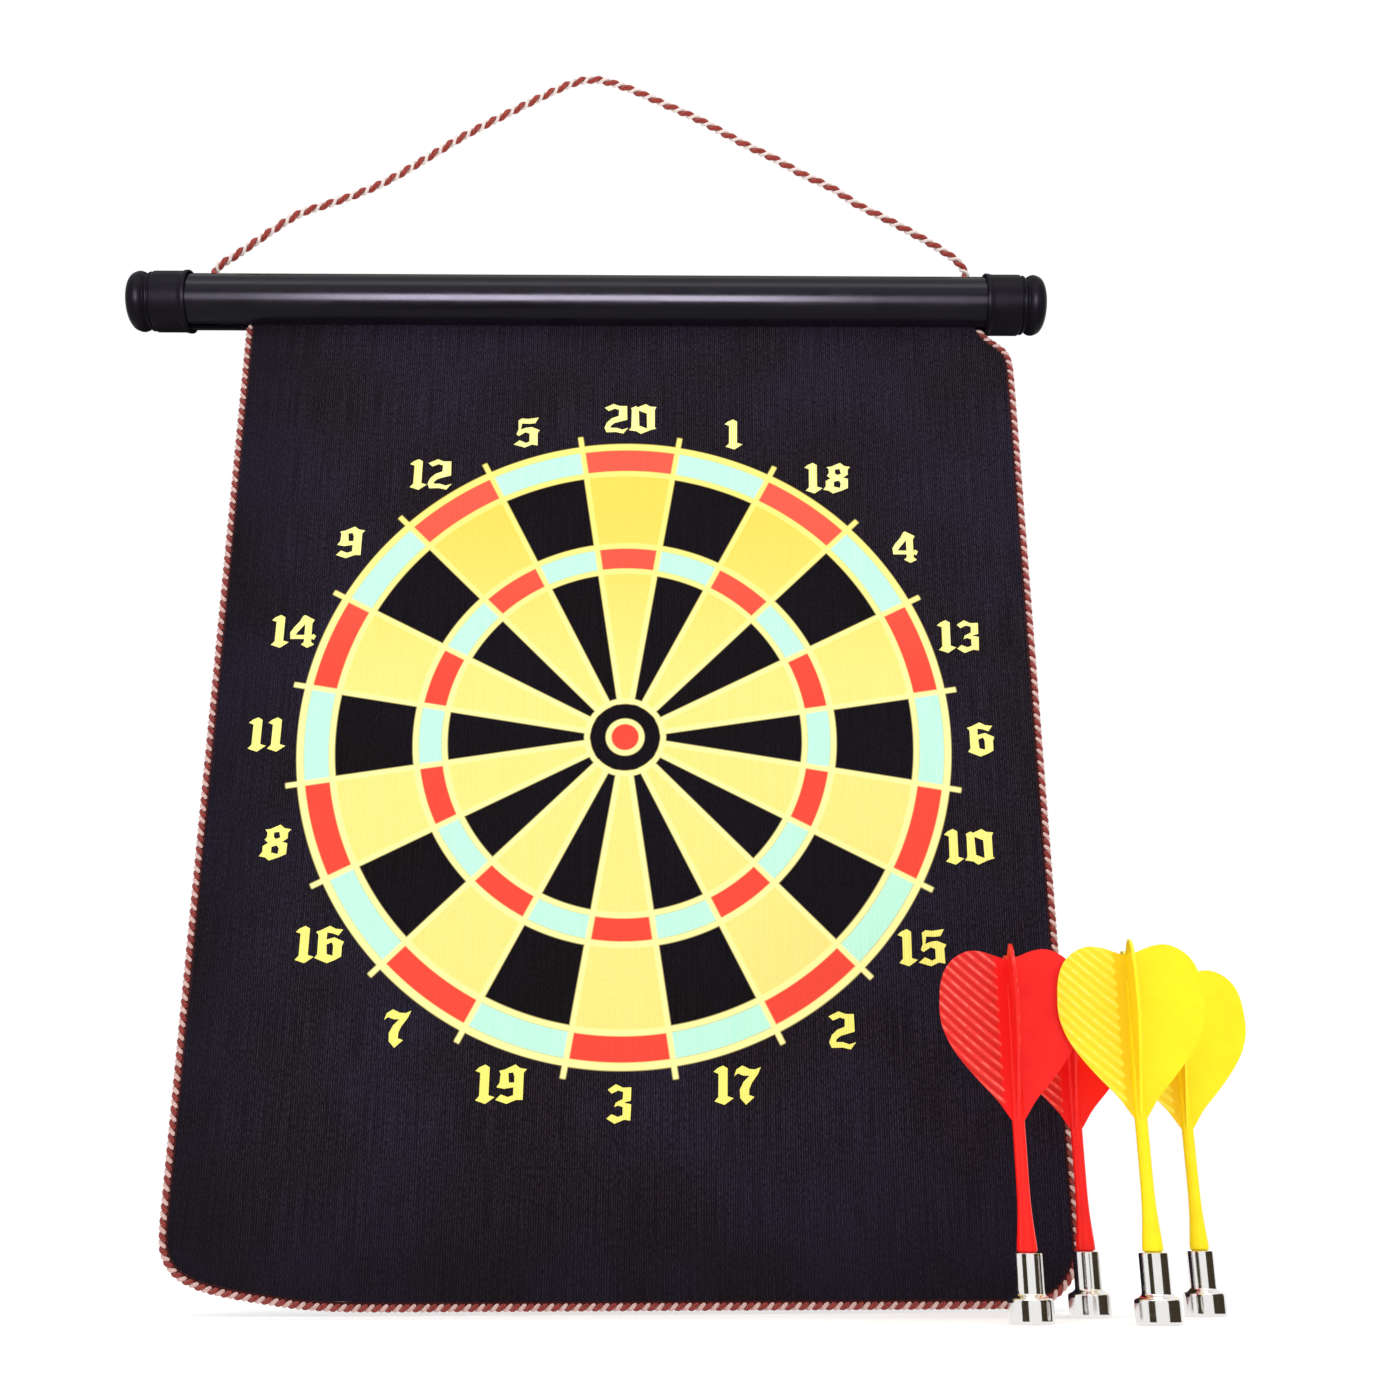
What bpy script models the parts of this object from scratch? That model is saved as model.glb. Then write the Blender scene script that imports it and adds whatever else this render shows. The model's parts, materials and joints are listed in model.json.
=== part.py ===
"""Roll-up magnetic dartboard with its hanging cord, scroll tube and four magnetic darts.

Metres, +Z up. The board faces -Y and +X is to its right. The origin is the point of the
hanging cord that rests on a nail: the underside of the cord at its peak.
"""
import math

import bmesh
import bpy
from mathutils import Matrix, Vector

# ---- driving dimensions ----
GAP = 0.0003                    # clearance between pieces that touch

# hanging cord
CORD_D = 0.003
CORD_RISE = 0.096               # cord centreline at its peak, above the top of the tube
CORD_STEP = 0.0068              # spacing of the cord's points
CORD_TIP = 0.18                 # radius at the cord's tips, as a share of its own
PIVOT_ABOVE_TUBE = 0.002        # swing axis of the tube, above the tube's top
HOLE_D = 0.004
LEFT_HOLE_X = -0.1476
RIGHT_HOLE_X = 0.1493
KNOT_R = 0.0038
KNOT_HALF_H = 0.0034

# scroll tube, header bar and end caps
TUBE_R = 0.0109
TUBE_WALL = 0.0012
TUBE_VISIBLE = 0.311            # length between the rims of the two caps
TUBE_INSERT = 0.0117            # length of tube inside each cap
SLOT_W = 0.0032
BAR_LENGTH = 0.326
BAR_W = 0.007
BAR_H = 0.0065
BAR_DROP = 0.0087               # bar's underside, below the tube's axis
GROOVE_W = 0.0026
GROOVE_DEPTH = 0.0045
CAP_BORE_R = 0.0112
CAP_BORE_DEPTH = 0.0125
CAP_LENGTH = 0.024
CAP_RIM_R = 0.0122
CAP_CUP_R = 0.0118
CAP_KNOB_R = 0.01175

# mat
MAT_WIDTH = 0.299
MAT_CENTRE_X = 0.0162
STRIP_COUNT = 8
FIRST_STRIP = 0.059             # visible length of the strip that is fixed in the tube
STRIP_STEP = 0.004              # each strip is this much shorter than the one above it
CLOTH_T = 0.0004
CORE_T = 0.001
LAYER_GAP = 0.0001
PIPING_D = 0.0029
HINGE_Y = 0.0016                # the mat bends about its rear side
MAT_CORNER_R = 0.020            # lower right corner

# darts
DART_FLOOR_DROP = 0.001         # level that the darts stand on, below the mat's lower edge
HEAD_R = 0.0064
HEAD_H = 0.0070
BARREL_R = 0.0041
BARREL_H = 0.0118
MAGNET_R = 0.0050
MAGNET_H = 0.0035
SPIGOT_R = 0.0023
SPIGOT_H = 0.009
SHAFT_H = 0.0356
SHAFT_FOOT_R = 0.0029
SHAFT_TOP_R = 0.0018
FLIGHT_H = 0.0498
FLIGHT_HALF_W = 0.021
VANE_T = 0.0008
# each dart's place, the turn of its vanes in degrees and its colour
DARTS = {
    "dart_red_front": ((0.1330, -0.0700), -7, "red_plastic"),
    "dart_red_rear": ((0.1592, -0.0315), -9, "red_plastic"),
    "dart_yellow_front": ((0.1666, -0.0775), -10, "yellow_plastic"),
    "dart_yellow_rear": ((0.1951, -0.0285), -12, "yellow_plastic"),
}

# round pieces
TUBE_SIDES = 48
CAP_SIDES = 32
BARREL_SIDES = 20
SMALL_SIDES = 12

# ---- levels and edges that follow ----
CORD_R = CORD_D / 2
PIPING_R = PIPING_D / 2
TUBE_TOP_Z = CORD_R - CORD_RISE
TUBE_Z = TUBE_TOP_Z - TUBE_R
TUBE_BOTTOM_Z = TUBE_Z - TUBE_R
PIVOT_Z = TUBE_TOP_Z + PIVOT_ABOVE_TUBE
RIM_X = TUBE_VISIBLE / 2
MAT_LEFT = MAT_CENTRE_X - MAT_WIDTH / 2
MAT_RIGHT = MAT_CENTRE_X + MAT_WIDTH / 2
CLOTH_INSET = PIPING_D + GAP
STRIP_LENGTHS = [FIRST_STRIP - STRIP_STEP * k for k in range(STRIP_COUNT)]
MAT_BOTTOM_Z = TUBE_BOTTOM_Z - sum(STRIP_LENGTHS)
FLOOR_Z = MAT_BOTTOM_Z - DART_FLOOR_DROP
LAYERS = {
    "front_cloth": (-CORE_T / 2 - LAYER_GAP - CLOTH_T, -CORE_T / 2 - LAYER_GAP),
    "core": (-CORE_T / 2, CORE_T / 2),
    "rear_cloth": (CORE_T / 2 + LAYER_GAP, CORE_T / 2 + LAYER_GAP + CLOTH_T),
}

# Route of the hanging cord: x, and height above the top of the tube.
CORD_ROUTE = [
    (-0.1476, 0.0023), (-0.1473, 0.0040), (-0.1456, 0.0062), (-0.1410, 0.0098),
    (-0.1347, 0.0152), (-0.1183, 0.0288), (-0.1063, 0.0342), (-0.0930, 0.0399),
    (-0.0802, 0.0472), (-0.0630, 0.0598), (-0.0512, 0.0685), (-0.0328, 0.0802),
    (-0.0141, 0.0914), (-0.0055, 0.0952), (0.0000, 0.0960), (0.0055, 0.0951),
    (0.0161, 0.0910), (0.0302, 0.0836), (0.0438, 0.0763), (0.0621, 0.0646),
    (0.0747, 0.0573), (0.0859, 0.0499), (0.0975, 0.0434), (0.1074, 0.0357),
    (0.1188, 0.0289), (0.1298, 0.0219), (0.1400, 0.0148), (0.1462, 0.0094),
    (0.1489, 0.0048), (0.1493, 0.0023),
]

# Upper right corner of the mat: x from the mat's right edge, and z from the tube's underside.
SHOULDER = [(-0.0116, 0.0), (-0.0096, -0.0030), (-0.0060, -0.0060), (-0.0025, -0.0092),
            (-0.0006, -0.0135), (0.0, -0.0200)]

# Lower left corner, which runs on into a slant: x from the mat's left edge, z from its lower one.
LOWER_LEFT = [(0.0, 0.0260), (0.0008, 0.0190), (0.0032, 0.0140), (0.0070, 0.0102),
              (0.0124, 0.0075), (0.0180, 0.0057), (0.0270, 0.0039), (0.0360, 0.0025),
              (0.0470, 0.0010), (0.0600, 0.0002), (0.0750, 0.0)]
CORNER_STEP = 0.003             # spacing of the points along both


def clear_scene():
    for obj in list(bpy.data.objects):
        bpy.data.objects.remove(obj, do_unlink=True)


def make_material(name, color, roughness, metallic=0.0):
    material = bpy.data.materials.new(name)
    material.use_nodes = True
    shader = material.node_tree.nodes["Principled BSDF"]
    shader.inputs["Base Color"].default_value = (*color, 1.0)
    shader.inputs["Roughness"].default_value = roughness
    shader.inputs["Metallic"].default_value = metallic
    return material


def make_materials():
    return {
        "tube_plastic": make_material("tube_plastic", (0.015, 0.014, 0.02), 0.25),
        "cap_plastic": make_material("cap_plastic", (0.012, 0.012, 0.014), 0.45),
        "bar_steel": make_material("bar_steel", (0.55, 0.56, 0.58), 0.4, 1.0),
        "cord_red": make_material("cord_red", (0.55, 0.06, 0.04), 0.8),
        "cloth_black": make_material("cloth_black", (0.012, 0.01, 0.016), 0.9),
        "core_rubber": make_material("core_rubber", (0.05, 0.045, 0.04), 0.85),
        "red_plastic": make_material("red_plastic", (0.9, 0.02, 0.01), 0.35),
        "yellow_plastic": make_material("yellow_plastic", (0.95, 0.75, 0.01), 0.35),
        "chrome": make_material("chrome", (0.8, 0.78, 0.75), 0.12, 1.0),
        "magnet": make_material("magnet", (0.3, 0.3, 0.32), 0.3, 1.0),
    }


# ---- shape helpers ----

def add_object(name, data, material, parent=None, location=(0, 0, 0)):
    obj = bpy.data.objects.new(name, data)
    bpy.context.scene.collection.objects.link(obj)
    if not data.materials:
        data.materials.append(material)
    obj.parent = parent
    obj.location = Vector(location)
    return obj


def add_axis(name, location, parent=None):
    """Empty on a joint's axis; location is in the frame of its parent."""
    empty = bpy.data.objects.new(name, None)
    bpy.context.scene.collection.objects.link(empty)
    empty.empty_display_size = 0.01
    empty.parent = parent
    empty.location = Vector(location)
    return empty


def world_origin(empty):
    """World place of an empty that is only moved, never turned, by its parents."""
    place = Vector((0, 0, 0))
    while empty:
        place += empty.location
        empty = empty.parent
    return place


def attach(obj, empty):
    """Parent an object whose mesh is in world coordinates, without moving it."""
    origin = world_origin(empty)
    if isinstance(obj.data, bpy.types.Mesh):
        obj.data.transform(Matrix.Translation(-origin))
    else:
        for spline in obj.data.splines:
            for point in spline.points:
                point.co.xyz = point.co.xyz - origin
    obj.parent = empty
    obj.location = (0, 0, 0)
    return obj


def finish_mesh(name, bm, smooth_angle=math.radians(40)):
    bmesh.ops.recalc_face_normals(bm, faces=bm.faces)
    mesh = bpy.data.meshes.new(name)
    bm.to_mesh(mesh)
    bm.free()
    mesh.shade_smooth()
    mesh.set_sharp_from_angle(angle=smooth_angle)
    return mesh


def plate(name, outline, low_y, high_y, material):
    """Closed plate: an outline of (x, z) corners, extruded along Y."""
    bm = bmesh.new()
    face = bm.faces.new([bm.verts.new((x, low_y, z)) for x, z in outline])
    grown = bmesh.ops.extrude_face_region(bm, geom=[face])
    moved = [item for item in grown["geom"] if isinstance(item, bmesh.types.BMVert)]
    bmesh.ops.translate(bm, verts=moved, vec=(0, high_y - low_y, 0))
    return add_object(name, finish_mesh(name, bm), material)


def bar_along_x(name, section, low_x, high_x, material):
    """Closed bar: a section of (y, z) corners, extruded along X."""
    bm = bmesh.new()
    face = bm.faces.new([bm.verts.new((low_x, y, z)) for y, z in section])
    grown = bmesh.ops.extrude_face_region(bm, geom=[face])
    moved = [item for item in grown["geom"] if isinstance(item, bmesh.types.BMVert)]
    bmesh.ops.translate(bm, verts=moved, vec=(high_x - low_x, 0, 0))
    return add_object(name, finish_mesh(name, bm), material)


def turned_mesh(name, profile, sides):
    """Closed body turned about Z from a profile of (radius, z) that starts and ends on it."""
    bm = bmesh.new()
    verts = [bm.verts.new((radius, 0, z)) for radius, z in profile]
    edges = [bm.edges.new(pair) for pair in zip(verts, verts[1:])]
    bmesh.ops.spin(bm, geom=verts + edges, axis=(0, 0, 1), cent=(0, 0, 0),
                   angle=math.tau, steps=sides, use_merge=True)
    bmesh.ops.remove_doubles(bm, verts=bm.verts, dist=1e-6)
    return finish_mesh(name, bm)


def arc(centre_x, centre_z, radius, start_deg, end_deg, steps):
    angles = [math.radians(start_deg + (end_deg - start_deg) * i / steps) for i in range(steps + 1)]
    return [(centre_x + radius * math.cos(a), centre_z + radius * math.sin(a)) for a in angles]


def smooth_point(points, i, t):
    """Point on the Catmull-Rom curve between points i and i + 1."""
    p0, p1 = points[max(i - 1, 0)], points[i]
    p2, p3 = points[i + 1], points[min(i + 2, len(points) - 1)]
    return 0.5 * (2 * p1 + (p2 - p0) * t + (2 * p0 - 5 * p1 + 4 * p2 - p3) * t * t
                  + (3 * p1 - p0 - 3 * p2 + p3) * t ** 3)


def smooth_route(points, step):
    """Evenly spaced points along a smooth curve through the given ones."""
    points = [Vector(p) for p in points]
    fine = [smooth_point(points, i, k / 20) for i in range(len(points) - 1) for k in range(20)]
    fine.append(points[-1])
    lengths = [0.0]
    for a, b in zip(fine, fine[1:]):
        lengths.append(lengths[-1] + (b - a).length)
    count = max(2, round(lengths[-1] / step))
    route, k = [], 0
    for n in range(count + 1):
        wanted = lengths[-1] * n / count
        while k < len(fine) - 2 and lengths[k + 1] < wanted:
            k += 1
        share = (wanted - lengths[k]) / (lengths[k + 1] - lengths[k])
        route.append(fine[k].lerp(fine[k + 1], share))
    return route


def round_cord(name, points, radius, material, end_scale=1.0):
    """Closed tube along points; end_scale narrows its two tips."""
    curve = bpy.data.curves.new(name, "CURVE")
    curve.dimensions = "3D"
    curve.bevel_depth = radius
    curve.bevel_resolution = 2
    curve.use_fill_caps = True
    spline = curve.splines.new("POLY")
    spline.points.add(len(points) - 1)
    for point, place in zip(spline.points, points):
        point.co = (*place, 1.0)
    spline.points[0].radius = spline.points[-1].radius = end_scale
    return add_object(name, curve, material)


# ---- cord, tube, bar and caps ----

def make_hanging_cord(materials):
    route = smooth_route([(x, 0, TUBE_TOP_Z + h) for x, h in CORD_ROUTE], CORD_STEP)
    first, last = route[0], route[-1]
    full = Vector((0, 0, CORD_R + GAP))
    points = [first, first + full] + [p for p in route[1:-1]] + [last + full, last]
    return round_cord("hanging_cord", points, CORD_R, materials["cord_red"], end_scale=CORD_TIP)


def make_knot(name, x, materials):
    """Knot under the tube's wall, with the stub of cord that passes up through the hole."""
    top_z = TUBE_TOP_Z - TUBE_WALL - GAP
    tip_z = PIVOT_Z - GAP
    profile = [(0, top_z - 2 * KNOT_HALF_H)]
    for i in range(1, 8):
        angle = math.radians(-90 + 20 * i)
        profile.append((KNOT_R * math.cos(angle), top_z - KNOT_HALF_H * (1 - math.sin(angle))))
    profile += [(CORD_R, top_z), (CORD_R, tip_z - CORD_R), (CORD_TIP * CORD_R, tip_z), (0, tip_z)]
    return add_object(name, turned_mesh(name, profile, SMALL_SIDES), materials["cord_red"],
                      location=(x, 0, 0))


def tube_section():
    """Ring that is open along its underside."""
    inner_r = TUBE_R - TUBE_WALL
    outer_half = math.degrees(math.asin(SLOT_W / 2 / TUBE_R))
    inner_half = math.degrees(math.asin(SLOT_W / 2 / inner_r))
    outer = arc(0, TUBE_Z, TUBE_R, -90 + outer_half, 270 - outer_half, TUBE_SIDES)
    inner = arc(0, TUBE_Z, inner_r, 270 - inner_half, -90 + inner_half, TUBE_SIDES)
    return outer + inner


def make_hole_cutter(name, x):
    bm = bmesh.new()
    bmesh.ops.create_cone(bm, cap_ends=True, segments=16, radius1=HOLE_D / 2, radius2=HOLE_D / 2,
                          depth=6 * TUBE_WALL)
    mesh = bpy.data.meshes.new(name)
    bm.to_mesh(mesh)
    bm.free()
    cutter = bpy.data.objects.new(name, mesh)
    bpy.context.scene.collection.objects.link(cutter)
    cutter.location = (x, 0, TUBE_TOP_Z)
    cutter.hide_render = True
    cutter.display_type = "WIRE"
    return cutter


def make_tube(materials):
    half = RIM_X + TUBE_INSERT
    tube = bar_along_x("scroll_tube", tube_section(), -half, half, materials["tube_plastic"])
    for side, x in (("left", LEFT_HOLE_X), ("right", RIGHT_HOLE_X)):
        cut = tube.modifiers.new("hole_" + side, "BOOLEAN")
        cut.operation = "DIFFERENCE"
        cut.solver = "EXACT"
        cut.object = make_hole_cutter("hole_cutter_" + side, x)
    return tube


def make_header_bar(materials):
    """Channel that grips the top of the mat and is too wide for the tube's slot."""
    low = TUBE_Z - BAR_DROP
    top = low + BAR_H
    roof = low + GROOVE_DEPTH
    half, groove = BAR_W / 2, GROOVE_W / 2
    section = [(-half, low), (-groove, low), (-groove, roof), (groove, roof), (groove, low),
               (half, low), (half, top), (-half, top)]
    return bar_along_x("header_bar", section, -BAR_LENGTH / 2, BAR_LENGTH / 2,
                       materials["bar_steel"])


def cap_profile():
    """Profile from the outer end to the floor of the bore, z measured from the rim outwards."""
    knob = [(0, CAP_LENGTH), (0.0068, CAP_LENGTH), (0.0092, 0.0235), (0.0107, 0.0223),
            (0.0115, 0.0208), (CAP_KNOB_R, 0.0192), (0.0115, 0.0177), (0.0108, 0.0167)]
    collar = [(0.0103, 0.0162), (0.0108, 0.0157), (0.0114, 0.0153), (0.0114, 0.0146)]
    cup = [(0.0110, 0.0143), (CAP_CUP_R, 0.0138), (CAP_CUP_R, 0.0022), (CAP_RIM_R, 0.0014),
           (CAP_RIM_R, 0.0), (CAP_BORE_R, 0.0)]
    bore = [(CAP_BORE_R, CAP_BORE_DEPTH), (0, CAP_BORE_DEPTH)]
    return knob + collar + cup + bore


def make_cap(name, side, materials):
    """side is -1 for the left end and +1 for the right end."""
    mesh = turned_mesh(name, cap_profile(), CAP_SIDES)
    mesh.transform(Matrix.Rotation(side * math.pi / 2, 4, "Y"))
    return add_object(name, mesh, materials["cap_plastic"], location=(side * RIM_X, 0, TUBE_Z))


# ---- mat ----

def strip_levels(k):
    """Top and bottom z of strip k, counted from 1, up to its hinge lines."""
    top = TUBE_BOTTOM_Z - sum(STRIP_LENGTHS[:k - 1])
    return top, top - STRIP_LENGTHS[k - 1]


def inset_edge(points, start_x, start_z, inset):
    """Edge of the mat through points counted from a start, as (x, z), moved inwards by inset.

    The mat lies to the left of the way that the points run.
    """
    route = smooth_route([(start_x + x, 0, start_z + z) for x, z in points], CORNER_STEP)
    edge = []
    for i, place in enumerate(route):
        along = (route[min(i + 1, len(route) - 1)] - route[max(i - 1, 0)]).normalized()
        moved = place + inset * Vector((-along.z, 0, along.x))
        edge.append((moved.x, moved.z))
    return edge


def shoulder_edge(inset):
    """Upper right corner, from the mat's right side up to the tube."""
    return inset_edge(SHOULDER[::-1], MAT_RIGHT, TUBE_BOTTOM_Z, inset)


def lower_edge(inset):
    """Both lower corners, from the mat's left side to its right side."""
    radius = MAT_CORNER_R - inset
    left_corner = inset_edge(LOWER_LEFT, MAT_LEFT, MAT_BOTTOM_Z, inset)
    return left_corner + arc(MAT_RIGHT - MAT_CORNER_R, MAT_BOTTOM_Z + MAT_CORNER_R, radius,
                             270, 360, 8)


def cloth_outline(k):
    """Outline of strip k inside its piping."""
    top, bottom = strip_levels(k)
    left, right = MAT_LEFT + CLOTH_INSET, MAT_RIGHT - CLOTH_INSET
    if k == 1:
        tongue = TUBE_Z - BAR_DROP + GROOVE_DEPTH - GAP
        shoulder = shoulder_edge(CLOTH_INSET)
        return [(left, tongue), (left, bottom + GAP / 2), (right, bottom + GAP / 2)] \
            + shoulder + [(shoulder[-1][0], tongue)]
    if k == STRIP_COUNT:
        return [(right, top - GAP / 2), (left, top - GAP / 2)] + lower_edge(CLOTH_INSET)
    return [(left, top - GAP / 2), (left, bottom + GAP / 2),
            (right, bottom + GAP / 2), (right, top - GAP / 2)]


def piping_run(x, k):
    top, bottom = strip_levels(k)
    if k == 1:
        top -= GAP / 2
    return [(x, 0, top - GAP / 2), (x, 0, bottom + GAP / 2)]


def make_side_piping(k, materials):
    """Left and right piping of strip k."""
    cord = materials["cord_red"]
    left = round_cord("piping_left_%d" % k, piping_run(MAT_LEFT + PIPING_R, k), PIPING_R, cord)
    right_run = piping_run(MAT_RIGHT - PIPING_R, k)
    if k == 1:
        right_run = [right_run[1]] + [(x, 0, z - GAP) for x, z in shoulder_edge(PIPING_R)]
    right = round_cord("piping_right_%d" % k, right_run, PIPING_R, cord)
    return [left, right]


def make_bottom_piping(materials):
    """One run of piping down the left, round both lower corners and up the right."""
    top = strip_levels(STRIP_COUNT)[0] - GAP / 2
    route = [(MAT_LEFT + PIPING_R, top)] + lower_edge(PIPING_R) + [(MAT_RIGHT - PIPING_R, top)]
    return round_cord("piping_bottom", [(x, 0, z) for x, z in route], PIPING_R,
                      materials["cord_red"])


def make_strip(k, materials):
    pieces = []
    for layer, (low_y, high_y) in LAYERS.items():
        finish = materials["core_rubber" if layer == "core" else "cloth_black"]
        pieces.append(plate("%s_%d" % (layer, k), cloth_outline(k), low_y, high_y, finish))
    if k == STRIP_COUNT:
        return pieces + [make_bottom_piping(materials)]
    return pieces + make_side_piping(k, materials)


# ---- darts, modelled about their own axis with z = 0 on the floor ----

def barrel_profile():
    """Chromed barrel and head: a socket on top for the shaft, a pocket below for the magnet."""
    top = HEAD_H + BARREL_H
    pocket = MAGNET_R + GAP
    pocket_roof = 0.0002 + MAGNET_H + GAP
    socket = SPIGOT_R + GAP
    return [(0, top - SPIGOT_H - GAP), (socket, top - SPIGOT_H - GAP), (socket, top),
            (BARREL_R - 0.0003, top), (BARREL_R, top - 0.0004),
            (BARREL_R, HEAD_H + 0.0012), (BARREL_R + 0.0004, HEAD_H + 0.0006),
            (HEAD_R - 0.0008, HEAD_H), (HEAD_R, HEAD_H - 0.0008),
            (HEAD_R, 0.0007), (HEAD_R - 0.0005, 0), (pocket, 0), (pocket, pocket_roof),
            (0, pocket_roof)]


def magnet_profile():
    low = 0.0002
    return [(0, low + MAGNET_H), (MAGNET_R, low + MAGNET_H), (MAGNET_R, low), (0, low)]


def shaft_profile():
    """Spigot in the barrel, tapered shaft, and the spine that runs up between the vanes."""
    foot = HEAD_H + BARREL_H + GAP
    flight = foot + SHAFT_H
    return [(0, foot - SPIGOT_H), (SPIGOT_R, foot - SPIGOT_H), (SPIGOT_R, foot),
            (SHAFT_FOOT_R, foot), (SHAFT_FOOT_R - 0.0002, foot + 0.004),
            (SHAFT_TOP_R + 0.0003, foot + 0.27 * SHAFT_H), (SHAFT_TOP_R, foot + 0.6 * SHAFT_H),
            (SHAFT_TOP_R, flight), (0.0016, flight + 0.2 * FLIGHT_H),
            (0.0009, flight + 0.8 * FLIGHT_H),
            (0, flight + 0.8 * FLIGHT_H + 0.0006)]


def heart_outline():
    """Outline of two opposite vanes: half widths and heights as shares of the flight's size."""
    half = [(0.07, 0.0), (0.26, 0.12), (0.50, 0.235), (0.72, 0.35), (0.885, 0.46), (0.98, 0.57),
            (1.0, 0.66), (0.975, 0.79), (0.90, 0.89), (0.76, 0.96), (0.56, 1.0), (0.36, 0.995),
            (0.16, 0.965), (0.0, 0.94)]
    right = [(FLIGHT_HALF_W * w, FLIGHT_H * h) for w, h in half]
    left = [(-w, h) for w, h in right[-2::-1]]
    return right + left


def join_body(body, other):
    union = body.modifiers.new("join_" + other.name, "BOOLEAN")
    union.operation = "UNION"
    union.solver = "EXACT"
    union.object = other


def make_flight_mesh(materials):
    """Shaft with four heart-shaped vanes, made once and shared by the four darts."""
    shaft = add_object("shaft_form", turned_mesh("dart_flight", shaft_profile(), SMALL_SIDES),
                       materials["red_plastic"])
    base = HEAD_H + BARREL_H + GAP + SHAFT_H
    outline = [(x, base + z) for x, z in heart_outline()]
    forms = [shaft]
    for name, angle in (("side_vanes", 0), ("front_vanes", math.pi / 2)):
        vanes = plate(name, outline, -VANE_T / 2, VANE_T / 2, materials["red_plastic"])
        vanes.data.transform(Matrix.Rotation(angle, 4, "Z"))
        join_body(shaft, vanes)
        forms.append(vanes)
    graph = bpy.context.evaluated_depsgraph_get()
    mesh = bpy.data.meshes.new_from_object(shaft.evaluated_get(graph))
    for form in forms:
        bpy.data.objects.remove(form, do_unlink=True)
    mesh.materials.clear()
    return mesh


def make_dart(name, place, turn, color, shared, materials):
    """One dart on an empty that lifts along Z."""
    axis = add_axis(name + "_lift", (*place, FLOOR_Z))
    flight = add_object(name + "_flight", shared["flight"].copy(), materials[color], parent=axis)
    flight.rotation_euler.z = math.radians(turn)
    add_object(name + "_barrel", shared["barrel"], materials["chrome"], parent=axis)
    add_object(name + "_magnet", shared["magnet"], materials["magnet"], parent=axis)


# ---- assembly ----

def main():
    clear_scene()
    materials = make_materials()

    make_hanging_cord(materials)
    swing = add_axis("tube_swing", (0, 0, PIVOT_Z))
    tube_pieces = [make_tube(materials), make_header_bar(materials)]
    for piece in tube_pieces + make_strip(1, materials):
        attach(piece, swing)
    for name, x in (("cord_knot_left", LEFT_HOLE_X), ("cord_knot_right", RIGHT_HOLE_X)):
        knot = make_knot(name, x, materials)
        knot.parent = swing
        knot.location.z = -PIVOT_Z
    for name, side in (("end_cap_left", -1), ("end_cap_right", 1)):
        cap = make_cap(name, side, materials)
        cap.parent = swing
        cap.location.z = TUBE_Z - PIVOT_Z

    upper = swing
    for k in range(2, STRIP_COUNT + 1):
        hinge_z = strip_levels(k)[0]
        local = Vector((0, HINGE_Y, hinge_z)) - world_origin(upper)
        hinge = add_axis("mat_roll_%d" % k, local, upper)
        for piece in make_strip(k, materials):
            attach(piece, hinge)
        upper = hinge

    shared = {
        "flight": make_flight_mesh(materials),
        "barrel": turned_mesh("dart_barrel", barrel_profile(), BARREL_SIDES),
        "magnet": turned_mesh("dart_magnet", magnet_profile(), BARREL_SIDES),
    }
    for name, (place, turn, color) in DARTS.items():
        make_dart(name, place, turn, color, shared, materials)


main()
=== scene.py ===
"""Looks of a roll-up magnetic dartboard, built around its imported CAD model.

Metres, +Z up. The board faces -Y, and the origin is where its cord rests on a nail.
"""
import json
import math

import bmesh
import bpy
import numpy as np
from mathutils import Matrix, Vector


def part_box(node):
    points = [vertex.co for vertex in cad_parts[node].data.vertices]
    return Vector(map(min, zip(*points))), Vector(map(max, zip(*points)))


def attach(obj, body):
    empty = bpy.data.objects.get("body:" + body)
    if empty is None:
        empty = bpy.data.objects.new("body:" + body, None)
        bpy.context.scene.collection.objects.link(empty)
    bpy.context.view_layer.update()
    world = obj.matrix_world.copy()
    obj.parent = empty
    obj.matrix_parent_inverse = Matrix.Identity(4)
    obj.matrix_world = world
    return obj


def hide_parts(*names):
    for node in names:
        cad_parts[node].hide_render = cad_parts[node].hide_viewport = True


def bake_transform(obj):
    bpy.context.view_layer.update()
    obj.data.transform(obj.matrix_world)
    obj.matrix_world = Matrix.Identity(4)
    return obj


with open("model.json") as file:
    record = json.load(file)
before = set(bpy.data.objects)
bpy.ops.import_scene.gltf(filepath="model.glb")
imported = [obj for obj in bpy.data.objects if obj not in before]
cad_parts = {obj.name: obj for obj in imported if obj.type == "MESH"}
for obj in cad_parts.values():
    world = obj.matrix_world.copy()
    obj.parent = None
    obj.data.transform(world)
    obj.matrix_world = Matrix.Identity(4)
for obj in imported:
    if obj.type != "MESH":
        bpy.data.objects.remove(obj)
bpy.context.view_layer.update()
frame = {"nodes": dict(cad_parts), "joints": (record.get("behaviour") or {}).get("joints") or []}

MM = 0.001
UP = Vector((0, 0, 1))
WHITE = (1.0, 1.0, 1.0, 1.0)

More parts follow.
